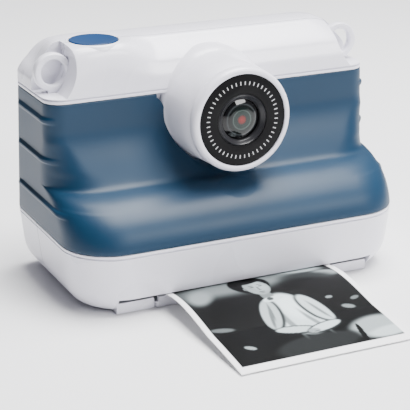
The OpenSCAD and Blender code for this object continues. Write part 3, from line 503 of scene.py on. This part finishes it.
# openings: the button's well, the scooped pockets beside the strap lugs, the paper slot,
# and everything that shows at the back
key_radius, ok_radius, key_gap = 3.0, 3.9, 0.3
window_low, window_high = Vector((-18.5, 17.0)), Vector((44.5, 61.0))
key_x = (window_low.x - 46) / 2 + 0.8
key_z = window_high.y - 15
key_ring = ok_radius + key_radius + 2.1
row_z = key_z - key_ring - key_radius - 6
keys = {"ok_button": (key_x, key_z, ok_radius),
        "up_button": (key_x, key_z + key_ring, key_radius),
        "down_button": (key_x, key_z - key_ring, key_radius),
        "left_button": (key_x + key_ring, key_z, key_radius),
        "right_button": (key_x - key_ring, key_z, key_radius),
        "menu_button": (key_x + 6, row_z, key_radius),
        "print_button": (key_x - 6, row_z, key_radius),
        "power_button": (key_x, row_z - key_radius - 5.5, key_radius - 0.4)}
skin_in, skin_out = 24, 31        # from inside the rear panel to outside it
led_radius, led_x, led_z = 1.25, key_x + 8, window_high.y - 2
speaker_low, speaker_high, speaker_pitch = 9.4, 10.6, 2.3
screw_radius, screw_places = 2.4, ((24, 68.5), (44.5, 8.0))
cuts = bmesh.new()
rod(cuts, button_radius + key_gap, (button_x, button_y, 70), (button_x, button_y, 82), 96)
for x, z, radius in keys.values():
    rod(cuts, radius + key_gap, (x, skin_in, z), (x, skin_out, z), 48)
rod(cuts, led_radius, (led_x, skin_in, led_z), (led_x, skin_out, led_z), 32)
for step in (-2, -1, 0, 1, 2):
    slot_half = 4.4 - abs(step)
    block(cuts, (key_x - slot_half, skin_in, speaker_low + speaker_pitch * step),
          (key_x + slot_half, skin_out, speaker_high + speaker_pitch * step))
for x, z in screw_places:
    for side in (-1, 1):
        rod(cuts, screw_radius, (side * x, skin_in, z), (side * x, skin_out, z), 48)
port_low, port_high = (12, skin_in, 6), (36, skin_out, 15.5)
paper_low, paper_high = (-44, -34, -2), (44, -17.4, 5.6)
block(cuts, port_low, port_high)
block(cuts, paper_low, paper_high)
shell = carve(shell, cuts)

pocket_radius, pocket_x, pocket_z = 15.6, cover_width / 2 + 5.4, body_height - 4
pocket_floor, pocket_back = cover_bottom + 1.6, split_y + 3.2
for side in (-1, 1):
    pocket = bmesh.new()
    rod(pocket, pocket_radius, (side * pocket_x, -14, pocket_z),
        (side * pocket_x, pocket_back, pocket_z), 128)
    floor_block = bmesh.new()
    block(floor_block, (side * pocket_x - 20, -20, 50), (side * pocket_x + 20, 20, pocket_floor))
    shell = carve(shell, carve(pocket, floor_block))
window_seat = bmesh.new()
block(window_seat, (window_low.x - 0.1, back_y - 1.5, window_low.y - 0.1),
      (window_high.x + 0.1, back_y + 1, window_high.y + 0.1))
upright = [e for e in window_seat.edges if abs((e.verts[0].co - e.verts[1].co).y) > 1]
bmesh.ops.bevel(window_seat, geom=upright, offset=3, affect="EDGES", segments=8, profile=0.5,
                material=-1)
shell = carve(shell, window_seat)
window_hole = bmesh.new()
block(window_hole, (window_low.x + 4, skin_in, window_low.y + 3),
      (window_high.x - 4, skin_out, window_high.y - 3))
shell = carve(shell, window_hole)
soften(shell, 0)
new_piece("housing_shell", shell, white_finish, "housing", "white_shell",
          "front_housing", "rear_housing")

# ---- Button collar -----------------------------------------------------------------
# The raised rim round the shutter button is part of the cover's moulding: a thin white
# ring, rolled over at its lip and flared into the cover below.
collar = bmesh.new()
collar_in = button_radius + key_gap
collar_profile = [(collar_in, pad_z - 6), (collar_in, pad_z - 0.35), (collar_in + 0.12, pad_z - 0.1),
                  (collar_in + 0.4, pad_z), (collar_in + 0.8, pad_z - 0.1),
                  (collar_in + 1.2, pad_z - 0.5), (collar_in + 1.5, pad_z - 1.3),
                  (collar_in + 2.0, pad_z - 3.2), (collar_in + 1.0, pad_z - 6)]
ring = [collar.verts.new((button_x + r, button_y, z)) for r, z in collar_profile]
section = [collar.edges.new((a, b)) for a, b in zip(ring, ring[1:] + ring[:1])]
bmesh.ops.spin(collar, geom=ring + section, cent=(button_x, button_y, 0), axis=(0, 0, 1),
               angle=math.tau, steps=96, use_merge=True)
bmesh.ops.remove_doubles(collar, verts=collar.verts, dist=0.001)
soften(collar, 0)
new_piece("button_collar", collar, white_finish, "housing", "white_shell",
          "front_housing", "rear_housing")

# ---- Grip sleeve -------------------------------------------------------------------
# One soft-touch band of dark blue rubber, stretched over the housing and glued. It has
# three grip ridges at each side, a shelf under the lens and a scooped relief round it.
grip_finish = grained("soft_touch_blue", (0.0045, 0.030, 0.066), (0.0035, 0.024, 0.054), 0.42,
                      size=4200.0, depth=0.10, Specular_IOR_Level=0.30)
sleeve = bmesh.new()
ridge_heights = (base_height + 0.23 * grip_height, base_height + 0.56 * grip_height,
                 base_height + 0.87 * grip_height)
ridge_proud, ridge_half = 0.9, 0.85
sleeve_levels = {round(20.8 + 0.9 * k, 2) for k in range(44)}
sleeve_levels |= {round(z + 0.3 * k, 2) for z in ridge_heights for k in range(-5, 6)}
sleeve_levels |= {round(bulge_low + (bulge_top - bulge_low) * math.sin(math.radians(a)), 2)
                  for a in range(10, 91, 4)}
sleeve_levels = sorted(z for z in sleeve_levels if 20.8 <= z <= 60.4)
sleeve_rings = [(20.36, 0.5), (20.42, 0.22), (20.58, 0.05)]
sleeve_rings += [(z, 0) for z in sleeve_levels] + [(60.62, 0.05), (60.78, 0.22), (60.84, 0.5)]
outer_rings = []
for z, inset in sleeve_rings:
    points = []
    for x, y, level in outline(z, inset):
        w = half_width(z)
        begin = (front_at(z) + cover_front_y) / 2 + 0.5
        swell = share((abs(x) - w + 3) / 3) * ease((y - begin + 1) / 2.5) * ease((25.6 - y) / 2)
        rise = max(math.exp(-((z - ridge) / ridge_half) ** 4) for ridge in ridge_heights)
        points.append((x + math.copysign(ridge_proud * swell * rise, x), y, level))
    outer_rings.append(add_ring(sleeve, points))
inner_levels = [20.4, 22, 24, 26, 28, 30, 31.5, 33, 34.5, 36, 38, 41, 45, 50, 55, 58, 60.8]
inner_rings = [add_ring(sleeve, outline(*behind_skin(z, sleeve_thickness))) for z in inner_levels]
bridge(sleeve, outer_rings)
bridge(sleeve, inner_rings)
bridge(sleeve, [outer_rings[0], inner_rings[0]])
bridge(sleeve, [outer_rings[-1], inner_rings[-1]])
shelf = [v for v in sleeve.verts if bulge_top - 3 < v.co.z < bulge_top + 5 and v.co.y < 0]
for _ in range(5):
    bmesh.ops.smooth_vert(sleeve, verts=shelf, factor=0.5,
                          use_axis_x=True, use_axis_y=True, use_axis_z=True)
bmesh.ops.recalc_face_normals(sleeve, faces=sleeve.faces)

lens_z = cover_bottom - 5.9
barrel_radius = 16.3
collar_clear = barrel_radius + 1.4
rear_gap = bmesh.new()
block(rear_gap, (-46, 26, 19), (46, 31, 62))
sleeve = carve(sleeve, rear_gap)
relief = bmesh.new()
relief_start, relief_end, relief_radius = -6.0, -30.0, 27.0
relief_place = Matrix.Translation((0, (relief_start + relief_end) / 2, lens_z))
bmesh.ops.create_cone(relief, cap_ends=True, segments=160, radius1=collar_clear,
                      radius2=relief_radius, depth=relief_start - relief_end,
                      matrix=relief_place @ Matrix.Rotation(math.radians(90), 4, "X"))
sleeve = carve(sleeve, relief)
barrel_room = bmesh.new()
rod(barrel_room, collar_clear, (0, -31, lens_z), (0, split_y, lens_z), 128)
sleeve = carve(sleeve, barrel_room)
# above the barrel's middle the gap runs on up to the cover, with rounded upper corners
corner_radius = 6.0
gap_side = collar_clear - 0.1
upper_gap = bmesh.new()
block(upper_gap, (-collar_clear - 2.4, -31, lens_z - 0.1), (collar_clear + 2.4, split_y - 1, 62))
for side in (-1, 1):
    round_corner = bmesh.new()
    middle_x = side * (gap_side + corner_radius)
    rod(round_corner, corner_radius, (middle_x, -40, cover_bottom - corner_radius),
        (middle_x, split_y, cover_bottom - corner_radius), 64)
    upper_gap = carve(upper_gap, round_corner)
    low_x, high_x = sorted((side * (gap_side - 0.001), side * (collar_clear + 4)))
    below = bmesh.new()
    block(below, (low_x, -40, lens_z - 3), (high_x, split_y, cover_bottom - corner_radius + 0.01))
    upper_gap = carve(upper_gap, below)
sleeve = carve(sleeve, upper_gap)
soften(sleeve, 0)
new_piece("grip_band", sleeve, grip_finish, "housing", "grip", "grip_sleeve")

# ---- Lens barrel -------------------------------------------------------------------
# A white tube moulded with the front half. It flares where it leaves the cover, tapers a
# little to its front, and ends in a rolled lip round the black face disc.
barrel_front = cover_front_y - 19.6
face_radius = 14.4
face_y = barrel_front + 0.4
barrel = bmesh.new()
barrel_profile = [(face_radius - 1.4, 4.0), (barrel_radius + 2.6, 4.0), (barrel_radius + 2.2, -1.6),
                  (barrel_radius + 1.5, -2.7), (barrel_radius + 1.12, -3.6),
                  (barrel_radius + 0.95, -5.6), (barrel_radius + 0.55, -12.0),
                  (barrel_radius + 0.25, -18.2), (barrel_radius + 0.05, -18.5),
                  (barrel_radius + 0.05, -18.9), (barrel_radius + 0.25, -19.2),
                  (barrel_radius + 0.18, -20.9),
                  (barrel_radius - 0.1, -21.7), (barrel_radius - 0.55, barrel_front + 0.08),
                  (barrel_radius - 1.0, barrel_front), (face_radius + 0.35, barrel_front),
                  (face_radius + 0.12, barrel_front + 0.2), (face_radius + 0.08, barrel_front + 1.9),
                  (face_radius - 1.4, barrel_front + 1.9)]
ring = [barrel.verts.new((r, y, lens_z)) for r, y in barrel_profile]
section = [barrel.edges.new((a, b)) for a, b in zip(ring, ring[1:] + ring[:1])]
bmesh.ops.spin(barrel, geom=ring + section, cent=(0, 0, lens_z), axis=(0, 1, 0),
               angle=math.tau, steps=128, use_merge=True)
bmesh.ops.remove_doubles(barrel, verts=barrel.verts, dist=0.001)
soften(barrel, 0)
new_piece("lens_barrel", barrel, white_finish, "housing", "white_shell", "front_housing")

# ---- Strap lugs --------------------------------------------------------------------
# Two small eyes moulded into the parting line, each a rounded band with a short foot.
# They stand in the scooped pockets at the ends of the cover.
lug_x, lug_z = cover_width / 2 - 5.3, cover_bottom + 7.9
lug_hole, lug_band, lug_depth = 4.0, 2.0, 3.0
for name, side in (("strap_lug_left", -1), ("strap_lug_right", 1)):
    lug = bmesh.new()
    eye = [(lug_hole, split_y - lug_depth), (lug_hole + lug_band, split_y - lug_depth),
           (lug_hole + lug_band, split_y), (lug_hole, split_y)]
    ring = [lug.verts.new((side * lug_x + r, y, lug_z)) for r, y in eye]
    section = [lug.edges.new((a, b)) for a, b in zip(ring, ring[1:] + ring[:1])]
    bmesh.ops.spin(lug, geom=ring + section, cent=(side * lug_x, 0, lug_z), axis=(0, 1, 0),
                   angle=math.tau, steps=72, use_merge=True)
    bmesh.ops.remove_doubles(lug, verts=lug.verts, dist=0.001)
    soften(lug, 0.55, angle=60, segments=4)
    block(lug, (side * lug_x - 2, split_y - lug_depth + 0.3, cover_bottom + 0.5),
          (side * lug_x + 2, split_y - 0.3, lug_z - lug_hole - 0.6))
    new_piece(name + "_eye", lug, white_finish, "housing", "white_shell", name)

# ---- Rounded caps and trims --------------------------------------------------------
# Small injection-moulded pieces: their sizes come straight from the frame, and all but the
# glass ring get the soft edge that a mould gives them.
blue_finish = grained("button_blue", (0.0015, 0.032, 0.110), (0.0012, 0.027, 0.095), 0.34,
                      size=3200.0, depth=0.04, Specular_IOR_Level=0.3)
black_finish = grained("gloss_black", (0.0025, 0.0025, 0.003), (0.0015, 0.0015, 0.002), 0.42,
                       size=1500.0, depth=0.01, Specular_IOR_Level=0.12)
bezel_finish = grained("bezel_black", (0.020, 0.020, 0.023), (0.012, 0.012, 0.014), 0.32,
                       size=2600.0, depth=0.04, Specular_IOR_Level=0.3)


def rounded_copy(node, name, finish, body, slot, width, angle=40, segments=3):
    """A piece with the node's own shape, its edges rounded by width."""
    copy = bmesh.new()
    copy.from_mesh(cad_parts[node].data)
    bmesh.ops.scale(copy, vec=(1 / MM,) * 3, verts=copy.verts)
    bmesh.ops.remove_doubles(copy, verts=copy.verts, dist=0.0005)
    bmesh.ops.dissolve_limit(copy, angle_limit=math.radians(0.8), verts=copy.verts, edges=copy.edges)
    soften(copy, width, angle, segments)
    return new_piece(name, copy, finish, body, slot, node)


def lens_reach(tree):
    """Gives the place round the lens axis, split into axes, and the distance from it."""
    place = tree.nodes.new("ShaderNodeTexCoord")
    centre = tree.nodes.new("ShaderNodeMapping")
    centre.inputs["Location"].default_value = (0, 0, -lens_z * MM)
    axes = tree.nodes.new("ShaderNodeSeparateXYZ")
    flat = tree.nodes.new("ShaderNodeCombineXYZ")
    reach = tree.nodes.new("ShaderNodeVectorMath")
    reach.operation = "LENGTH"
    wire(tree,
         (place.outputs["Object"], centre.inputs["Vector"]),
         (centre.outputs["Vector"], axes.inputs["Vector"]),
         (axes.outputs["X"], flat.inputs["X"]),
         (axes.outputs["Z"], flat.inputs["Z"]),
         (flat.outputs["Vector"], reach.inputs[0]))
    return axes, reach.outputs["Value"]


def math_node(tree, operation, *sources):
    """One Math node, fed by sockets and plain values."""
    node = tree.nodes.new("ShaderNodeMath")
    node.operation = operation
    for place, source in enumerate(sources):
        if isinstance(source, (int, float)):
            node.inputs[place].default_value = source
        else:
            wire(tree, (source, node.inputs[place]))
    return node.outputs["Value"]


# the face disc carries a ring of plain tick marks in light grey
tick_step, tick_share = math.radians(7.5), 0.10
tick_radius, tick_half_length = 11.6, 0.55
disc_tree = black_finish.node_tree
disc_axes, disc_radius = lens_reach(disc_tree)
turn = math_node(disc_tree, "ARCTAN2", disc_axes.outputs["Z"], disc_axes.outputs["X"])
place_in_step = math_node(disc_tree, "FRACT", math_node(disc_tree, "DIVIDE", turn, tick_step))
off_tick = math_node(disc_tree, "ABSOLUTE", math_node(disc_tree, "SUBTRACT", place_in_step, 0.5))
off_ring = math_node(disc_tree, "ABSOLUTE",
                     math_node(disc_tree, "SUBTRACT", disc_radius, tick_radius * MM))
tick_mask = math_node(disc_tree, "MULTIPLY", math_node(disc_tree, "LESS_THAN", off_tick, tick_share),
                      math_node(disc_tree, "LESS_THAN", off_ring, tick_half_length * MM))
tick_colour = disc_tree.nodes.new("ShaderNodeMix")
tick_colour.data_type = "RGBA"
tick_colour.inputs["B"].default_value = (0.55, 0.55, 0.56, 1)
wire(disc_tree,
     (tick_mask, tick_colour.inputs["Factor"]),
     (disc_tree.nodes["grain"].outputs["Color"], tick_colour.inputs["A"]),
     (tick_colour.outputs["Result"], disc_tree.nodes["Principled BSDF"].inputs["Base Color"]))

rounded_copy("shutter_button", "shutter_cap", blue_finish, "shutter", "blue_key", 0.35)
rounded_copy("lens_face", "face_disc", black_finish, "housing", "black_trim", 0.15)
rounded_copy("lens_bezel", "glass_ring", bezel_finish, "housing", "bezel", 0)
for key in keys:
    blue = key in ("ok_button", "print_button")
    rounded_copy(key, key.replace("button", "cap"), blue_finish if blue else white_finish,
                 "key_" + key.replace("_button", ""), "blue_key" if blue else "white_key", 0.25)
rounded_copy("port_flap", "socket_flap", blue_finish, "flap", "blue_key", 0.12)
rounded_copy("paper_door", "bay_door", white_finish, "door", "white_shell", 0.2)

# ---- Print -------------------------------------------------------------------------
# A fresh black-and-white thermal print, 57 mm wide, that leaves the slot level and curls
# down to the table. Its picture is an invented one: a calm seated figure in a white shirt.
paper_width, print_length, paper_thickness = 57.0, 56.0, 0.2
print_y, slot_z = front_y + 6.8, 3.9
border_side, border_end = 1.7, 3.0
paper_grey = (0.90, 0.90, 0.91)
ink_black, ink_white, ink_curve, ink_tint = 0.004, 0.85, 2.3, (0.86, 0.98, 1.0)


def print_height(t):
    rise = 2.3 * math.sin(math.pi * share(t / 0.62)) * (1 - t)
    return slot_z + rise - (slot_z - 0.25) * share((t - 0.12) / 0.88) ** 1.9


# Each stroke of the picture: tone, middle across and down, half width, half height, turn
# in degrees and softness of its edge. Later strokes lie over earlier ones.
backdrop_strokes = [
    (0.50, 0.40, 0.16, 0.42, 0.13, -5, 0.9), (0.72, 0.66, 0.03, 0.34, 0.06, -4, 0.6),
    (0.76, 0.80, 0.10, 0.16, 0.05, 12, 0.7), (0.58, 0.10, 0.26, 0.07, 0.10, 30, 0.9),
    (0.62, 0.93, 0.22, 0.08, 0.05, 20, 0.8), (0.20, 0.80, 0.24, 0.16, 0.07, 15, 0.8),
    (0.05, 0.80, 0.36, 0.20, 0.10, 24, 0.8), (0.66, 0.90, 0.86, 0.17, 0.10, -8, 0.5),
    (0.80, 0.95, 0.94, 0.15, 0.05, -5, 0.6), (0.52, 0.86, 0.62, 0.040, 0.02, 25, 0.5),
    (0.45, 0.94, 0.55, 0.030, 0.015, -15, 0.5), (0.55, 0.80, 0.50, 0.022, 0.014, 0, 0.5),
    (0.62, 0.13, 0.84, 0.035, 0.016, 35, 0.4), (0.40, 0.07, 0.62, 0.07, 0.02, 12, 0.6),
    (0.05, 0.78, 0.92, 0.016, 0.11, 8, 0.2)]
figure_strokes = [
    (0.06, 0.47, 0.66, 0.27, 0.30, 0, 0.35), (0.16, 0.50, 0.93, 0.26, 0.10, -4, 0.3),
    (0.86, 0.53, 0.60, 0.145, 0.23, -6, 0.15), (0.95, 0.55, 0.52, 0.070, 0.14, -8, 0.8),
    (0.55, 0.46, 0.66, 0.018, 0.16, -4, 0.9), (0.55, 0.60, 0.70, 0.014, 0.13, -14, 0.9),
    (0.20, 0.40, 0.57, 0.066, 0.165, 14, 0.25), (0.74, 0.395, 0.565, 0.055, 0.155, 14, 0.2),
    (0.45, 0.385, 0.60, 0.010, 0.100, 16, 0.9), (0.45, 0.410, 0.54, 0.008, 0.080, 10, 0.9),
    (0.18, 0.46, 0.755, 0.128, 0.046, 12, 0.25), (0.80, 0.455, 0.750, 0.115, 0.034, 12, 0.2),
    (0.22, 0.665, 0.58, 0.066, 0.165, -14, 0.25), (0.82, 0.670, 0.575, 0.054, 0.155, -14, 0.2),
    (0.50, 0.680, 0.60, 0.010, 0.100, -16, 0.9), (0.20, 0.62, 0.775, 0.122, 0.046, -14, 0.25),
    (0.86, 0.625, 0.770, 0.110, 0.034, -14, 0.2), (0.62, 0.545, 0.795, 0.036, 0.024, 4, 0.3),
    (0.30, 0.545, 0.800, 0.030, 0.003, 4, 0.5)]
head_strokes = [
    (0.50, 0.470, 0.370, 0.036, 0.060, -6, 0.3), (0.90, 0.485, 0.415, 0.066, 0.026, -6, 0.3),
    (0.30, 0.470, 0.410, 0.020, 0.018, -6, 0.4), (0.03, 0.440, 0.195, 0.120, 0.128, -8, 0.12),
    (0.14, 0.400, 0.120, 0.060, 0.012, -14, 0.9), (0.62, 0.462, 0.250, 0.073, 0.104, -6, 0.12),
    (0.72, 0.485, 0.240, 0.040, 0.070, -6, 0.8), (0.04, 0.448, 0.155, 0.086, 0.032, -10, 0.3),
    (0.18, 0.437, 0.245, 0.014, 0.0055, -6, 0.5), (0.18, 0.491, 0.241, 0.014, 0.0055, -6, 0.5),
    (0.24, 0.436, 0.225, 0.018, 0.0035, -10, 0.6), (0.24, 0.492, 0.220, 0.018, 0.0035, -2, 0.6),
    (0.44, 0.466, 0.268, 0.006, 0.024, -6, 0.8), (0.36, 0.467, 0.291, 0.012, 0.004, -6, 0.6),
    (0.26, 0.468, 0.316, 0.019, 0.004, -6, 0.5), (0.42, 0.469, 0.330, 0.013, 0.004, -6, 0.8),
    (0.46, 0.386, 0.258, 0.009, 0.018, -6, 0.3)]


def picture_tone(across, down):
    """Paints the strokes in order and gives the grey at one place of the picture."""
    tone = 0.045 + 0.03 * math.sin(9 * across + 4 * down) ** 2
    for grey, cu, cv, ru, rv, turn, edge in backdrop_strokes + figure_strokes + head_strokes:
        c, s = math.cos(math.radians(turn)), math.sin(math.radians(turn))
        du, dv = across - cu, down - cv
        reach = math.hypot((du * c + dv * s) / ru, (dv * c - du * s) / rv)
        tone += (grey - tone) * ease((1 + edge / 2 - reach) / max(edge, 0.02))
    return tone


print_mesh = bmesh.new()
bmesh.ops.create_grid(print_mesh, x_segments=170, y_segments=150, size=0.5)
print_tone = print_mesh.verts.layers.float_color.new("picture")
for vert in print_mesh.verts:
    t = 0.5 - vert.co.y
    vert.co = Vector((vert.co.x * paper_width, print_y - print_length * t,
                      print_height(t) + paper_thickness))
bmesh.ops.recalc_face_normals(print_mesh, faces=print_mesh.faces)
if print_mesh.faces[0].normal.z < 0:
    bmesh.ops.reverse_faces(print_mesh, faces=print_mesh.faces)
bmesh.ops.solidify(print_mesh, geom=print_mesh.faces[:], thickness=paper_thickness)
print_mesh.normal_update()
for vert in print_mesh.verts:
    across = (vert.co.x + paper_width / 2 - border_side) / (paper_width - 2 * border_side)
    down = (print_y - vert.co.y) / (print_length - border_end)
    grey = paper_grey
    if vert.normal.z > 0.3 and 0 < across < 1 and down < 1:
        tone = ink_white * max(ink_black, picture_tone(across, down)) ** ink_curve
        grey = tuple(tone * part for part in ink_tint)
    vert[print_tone] = (*grey, 1)
for face in print_mesh.faces:
    face.smooth = True
print_finish = grained("thermal_print", (0.9, 0.9, 0.9), (0.88, 0.88, 0.88), 0.45,
                       size=1800.0, depth=0.05, Specular_IOR_Level=0.08)
picture_source = print_finish.node_tree.nodes.new("ShaderNodeAttribute")
picture_source.attribute_name = "picture"
print_shader = print_finish.node_tree.nodes["Principled BSDF"]
wire(print_finish.node_tree, (picture_source.outputs["Color"], print_shader.inputs["Base Color"]))
new_piece("printed_sheet", print_mesh, print_finish, "print", "paper", "print_sheet")

# ---- Glass -------------------------------------------------------------------------
# The front element is a shallow dome of coated glass, green-black in its own colour, with
# a painted red reflection at its middle and two painted pale ring reflections further out;
# behind it the tube holds a second element.
glass_finish = bpy.data.materials.new("glass_with_painted_reflection")
glass_finish.use_nodes = True
glass_tree = glass_finish.node_tree
glass_shader = glass_tree.nodes["Principled BSDF"]
glass_shader.inputs["Roughness"].default_value = 0.04
glass_shader.inputs["Coat Weight"].default_value = 0.3
glass_shader.inputs["Specular IOR Level"].default_value = 0.25
glass_radius = 6.35
glass_share = math_node(glass_tree, "DIVIDE", lens_reach(glass_tree)[1], glass_radius * MM)
painted_reflection_ramp = glass_tree.nodes.new("ShaderNodeValToRGB")
# painted reflections set in the base colour: the red glow at the middle and the pale rings at 0.47 and
# 0.76
glass_and_reflection_stops = [(0.0, (0.20, 0.012, 0.010)), (0.16, (0.11, 0.010, 0.008)), (0.25, (0.004, 0.010, 0.008)),
              (0.42, (0.003, 0.016, 0.012)), (0.47, (0.045, 0.060, 0.055)), (0.52, (0.002, 0.007, 0.006)),
              (0.70, (0.003, 0.004, 0.004)), (0.76, (0.035, 0.040, 0.042)), (0.82, (0.002, 0.002, 0.003)),
              (1.0, (0.001, 0.001, 0.001))]
stops = painted_reflection_ramp.color_ramp.elements
stops[0].position, stops[0].color = glass_and_reflection_stops[0][0], (*glass_and_reflection_stops[0][1], 1)
stops[1].position, stops[1].color = glass_and_reflection_stops[-1][0], (*glass_and_reflection_stops[-1][1], 1)
for position, colour in glass_and_reflection_stops[1:-1]:
    stops.new(position).color = (*colour, 1)
wire(glass_tree, (glass_share, painted_reflection_ramp.inputs["Fac"]),
     (painted_reflection_ramp.outputs["Color"], glass_shader.inputs["Base Color"]))
rounded_copy("front_lens", "front_glass", glass_finish, "housing", "lens_glass", 0)

# ---- Screen, boards and sockets ----------------------------------------------------
# A smoked window is bonded into the back over the display. Behind it stand the main
# board with its keypad mat, the speaker, a pouch cell and the sockets under the flap.
def dress(finish, *names):
    """Gives CAD nodes that keep their own shape a finish."""
    for node in names:
        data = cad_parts[node].data
        data.materials.clear()
        data.materials.append(finish)


window_finish = grained("smoked_window", (0.004, 0.004, 0.005), (0.003, 0.003, 0.004), 0.08,
                        size=900.0, depth=0.005, Coat_Weight=0.6, Coat_Roughness=0.03)
rounded_copy("screen_window", "display_window", window_finish, "housing", "black_trim", 0.2)
dress(grained("display_glass", (0.010, 0.012, 0.020), (0.006, 0.008, 0.014), 0.15, size=700.0,
              depth=0.01), "lcd_panel")
dress(grained("led_lens", (0.10, 0.60, 0.16), (0.08, 0.50, 0.13), 0.20, size=1500.0,
              depth=0.02), "status_led")
dress(grained("silicone", (0.24, 0.24, 0.26), (0.20, 0.20, 0.22), 0.70, size=1800.0, depth=0.15),
      "button_mat", "screen_gasket")
dress(grained("black_moulding", (0.020, 0.020, 0.023), (0.013, 0.013, 0.015), 0.50, size=2400.0,
              depth=0.15), "lens_holder", "lens_tube", "shutter_switch", "speaker")
dress(grained("cell_wrap", (0.55, 0.56, 0.58), (0.48, 0.49, 0.51), 0.35, size=600.0, depth=0.12,
              Metallic=0.6), "battery")
dress(grained("flex_film", (0.50, 0.20, 0.03), (0.42, 0.16, 0.02), 0.30, size=900.0, depth=0.04),
      "sensor_flex")

# solder mask over copper: fine tracks on a grid show through the green
board_finish = grained("solder_mask", (0.012, 0.110, 0.045), (0.008, 0.080, 0.032), 0.32,
                       size=2000.0, depth=0.05)
board_nodes = board_finish.node_tree.nodes
track_place = board_nodes.new("ShaderNodeTexCoord")
track_cells = board_nodes.new("ShaderNodeTexBrick")
track_cells.inputs["Scale"].default_value = 260.0
track_cells.inputs["Mortar Size"].default_value = 0.03
track_colour = board_nodes.new("ShaderNodeMix")
track_colour.data_type = "RGBA"
track_colour.inputs["B"].default_value = (0.030, 0.180, 0.080, 1)
track_mask = board_nodes.new("ShaderNodeMapRange")
track_turn = board_nodes.new("ShaderNodeMapping")
track_turn.inputs["Rotation"].default_value = (math.radians(90), 0, 0)
wire(board_finish.node_tree,
     (track_place.outputs["Object"], track_turn.inputs["Vector"]),
     (track_turn.outputs["Vector"], track_cells.inputs["Vector"]),
     (track_cells.outputs["Fac"], track_mask.inputs["Value"]),
     (track_mask.outputs["Result"], track_colour.inputs["Factor"]),
     (board_nodes["grain"].outputs["Color"], track_colour.inputs["A"]),
     (track_colour.outputs["Result"], board_nodes["Principled BSDF"].inputs["Base Color"]))
dress(board_finish, "main_board", "sensor_board")

# ---- Metal pieces ------------------------------------------------------------------
# Turned steel pins, zinc-plated screws, a wound spring, stamped socket shells and the
# saw-toothed bar that tears the paper: bare metal with fine drawn lines.
steel_finish = grained("plated_steel", (0.62, 0.62, 0.64), (0.50, 0.50, 0.52), 0.28, size=1200.0,
                       depth=0.10, Metallic=1.0)
brush_nodes = steel_finish.node_tree.nodes
brush_place = brush_nodes.new("ShaderNodeTexCoord")
brush_stretch = brush_nodes.new("ShaderNodeMapping")
brush_stretch.inputs["Scale"].default_value = (0.05, 1.0, 1.0)
brush_lines = brush_nodes.new("ShaderNodeTexNoise")
brush_lines.inputs["Scale"].default_value = 5000.0
wire(steel_finish.node_tree,
     (brush_place.outputs["Object"], brush_stretch.inputs["Vector"]),
     (brush_stretch.outputs["Vector"], brush_lines.inputs["Vector"]),
     (brush_lines.outputs["Fac"], brush_nodes["bump"].inputs["Height"]))
spring = rounded_copy("shutter_spring", "return_spring", steel_finish, "housing", "steel", 0)
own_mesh(spring)
dress(steel_finish, "usb_socket", "card_socket", "head_springs", "platen_shaft",
      "idler_axle", "tear_bar", "door_hinge_pin", "housing_screws", "base_screws",
      "board_screws", "printer_motor")
dress(grained("heatsink_aluminium", (0.66, 0.67, 0.69), (0.58, 0.59, 0.61), 0.38, size=1600.0,
              depth=0.12, Metallic=1.0), "head_heatsink")
dress(grained("brass", (0.62, 0.42, 0.16), (0.52, 0.35, 0.13), 0.30, size=1400.0, depth=0.08,
              Metallic=1.0), "motor_pinion")

# ---- Printer and paper -------------------------------------------------------------
# A small thermal printer: black nylon frame, ceramic print head, rubber platen, acetal
# gears, and a 57 mm roll of coated paper on a card core.
dress(grained("nylon_frame", (0.030, 0.030, 0.034), (0.020, 0.020, 0.023), 0.52, size=2200.0,
              depth=0.18), "printer_frame", "motor_bracket")
dress(grained("head_ceramic", (0.62, 0.57, 0.48), (0.56, 0.51, 0.43), 0.30, size=1500.0,
              depth=0.05), "print_head")
dress(grained("platen_rubber", (0.035, 0.035, 0.040), (0.025, 0.025, 0.028), 0.72, size=3000.0,
              depth=0.25), "platen_roller")
dress(grained("acetal", (0.74, 0.74, 0.70), (0.68, 0.68, 0.64), 0.40, size=2200.0, depth=0.06),
      "platen_bushes", "platen_gear", "idler_gear")
dress(grained("coated_paper", (0.86, 0.86, 0.87), (0.82, 0.82, 0.83), 0.60, size=2600.0,
              depth=0.12), "paper_roll", "paper_web")
dress(grained("core_card", (0.42, 0.30, 0.18), (0.36, 0.25, 0.15), 0.80, size=1600.0, depth=0.3),
      "roll_core")
dress(grained("grey_abs", (0.42, 0.42, 0.44), (0.38, 0.38, 0.40), 0.45, size=2400.0, depth=0.08),
      "roll_spindle")
dress(white_finish, "base_plate")
dress(grained("rear_glass", (0.05, 0.07, 0.07), (0.04, 0.06, 0.06), 0.05, size=500.0, depth=0.0),
      "rear_lens")
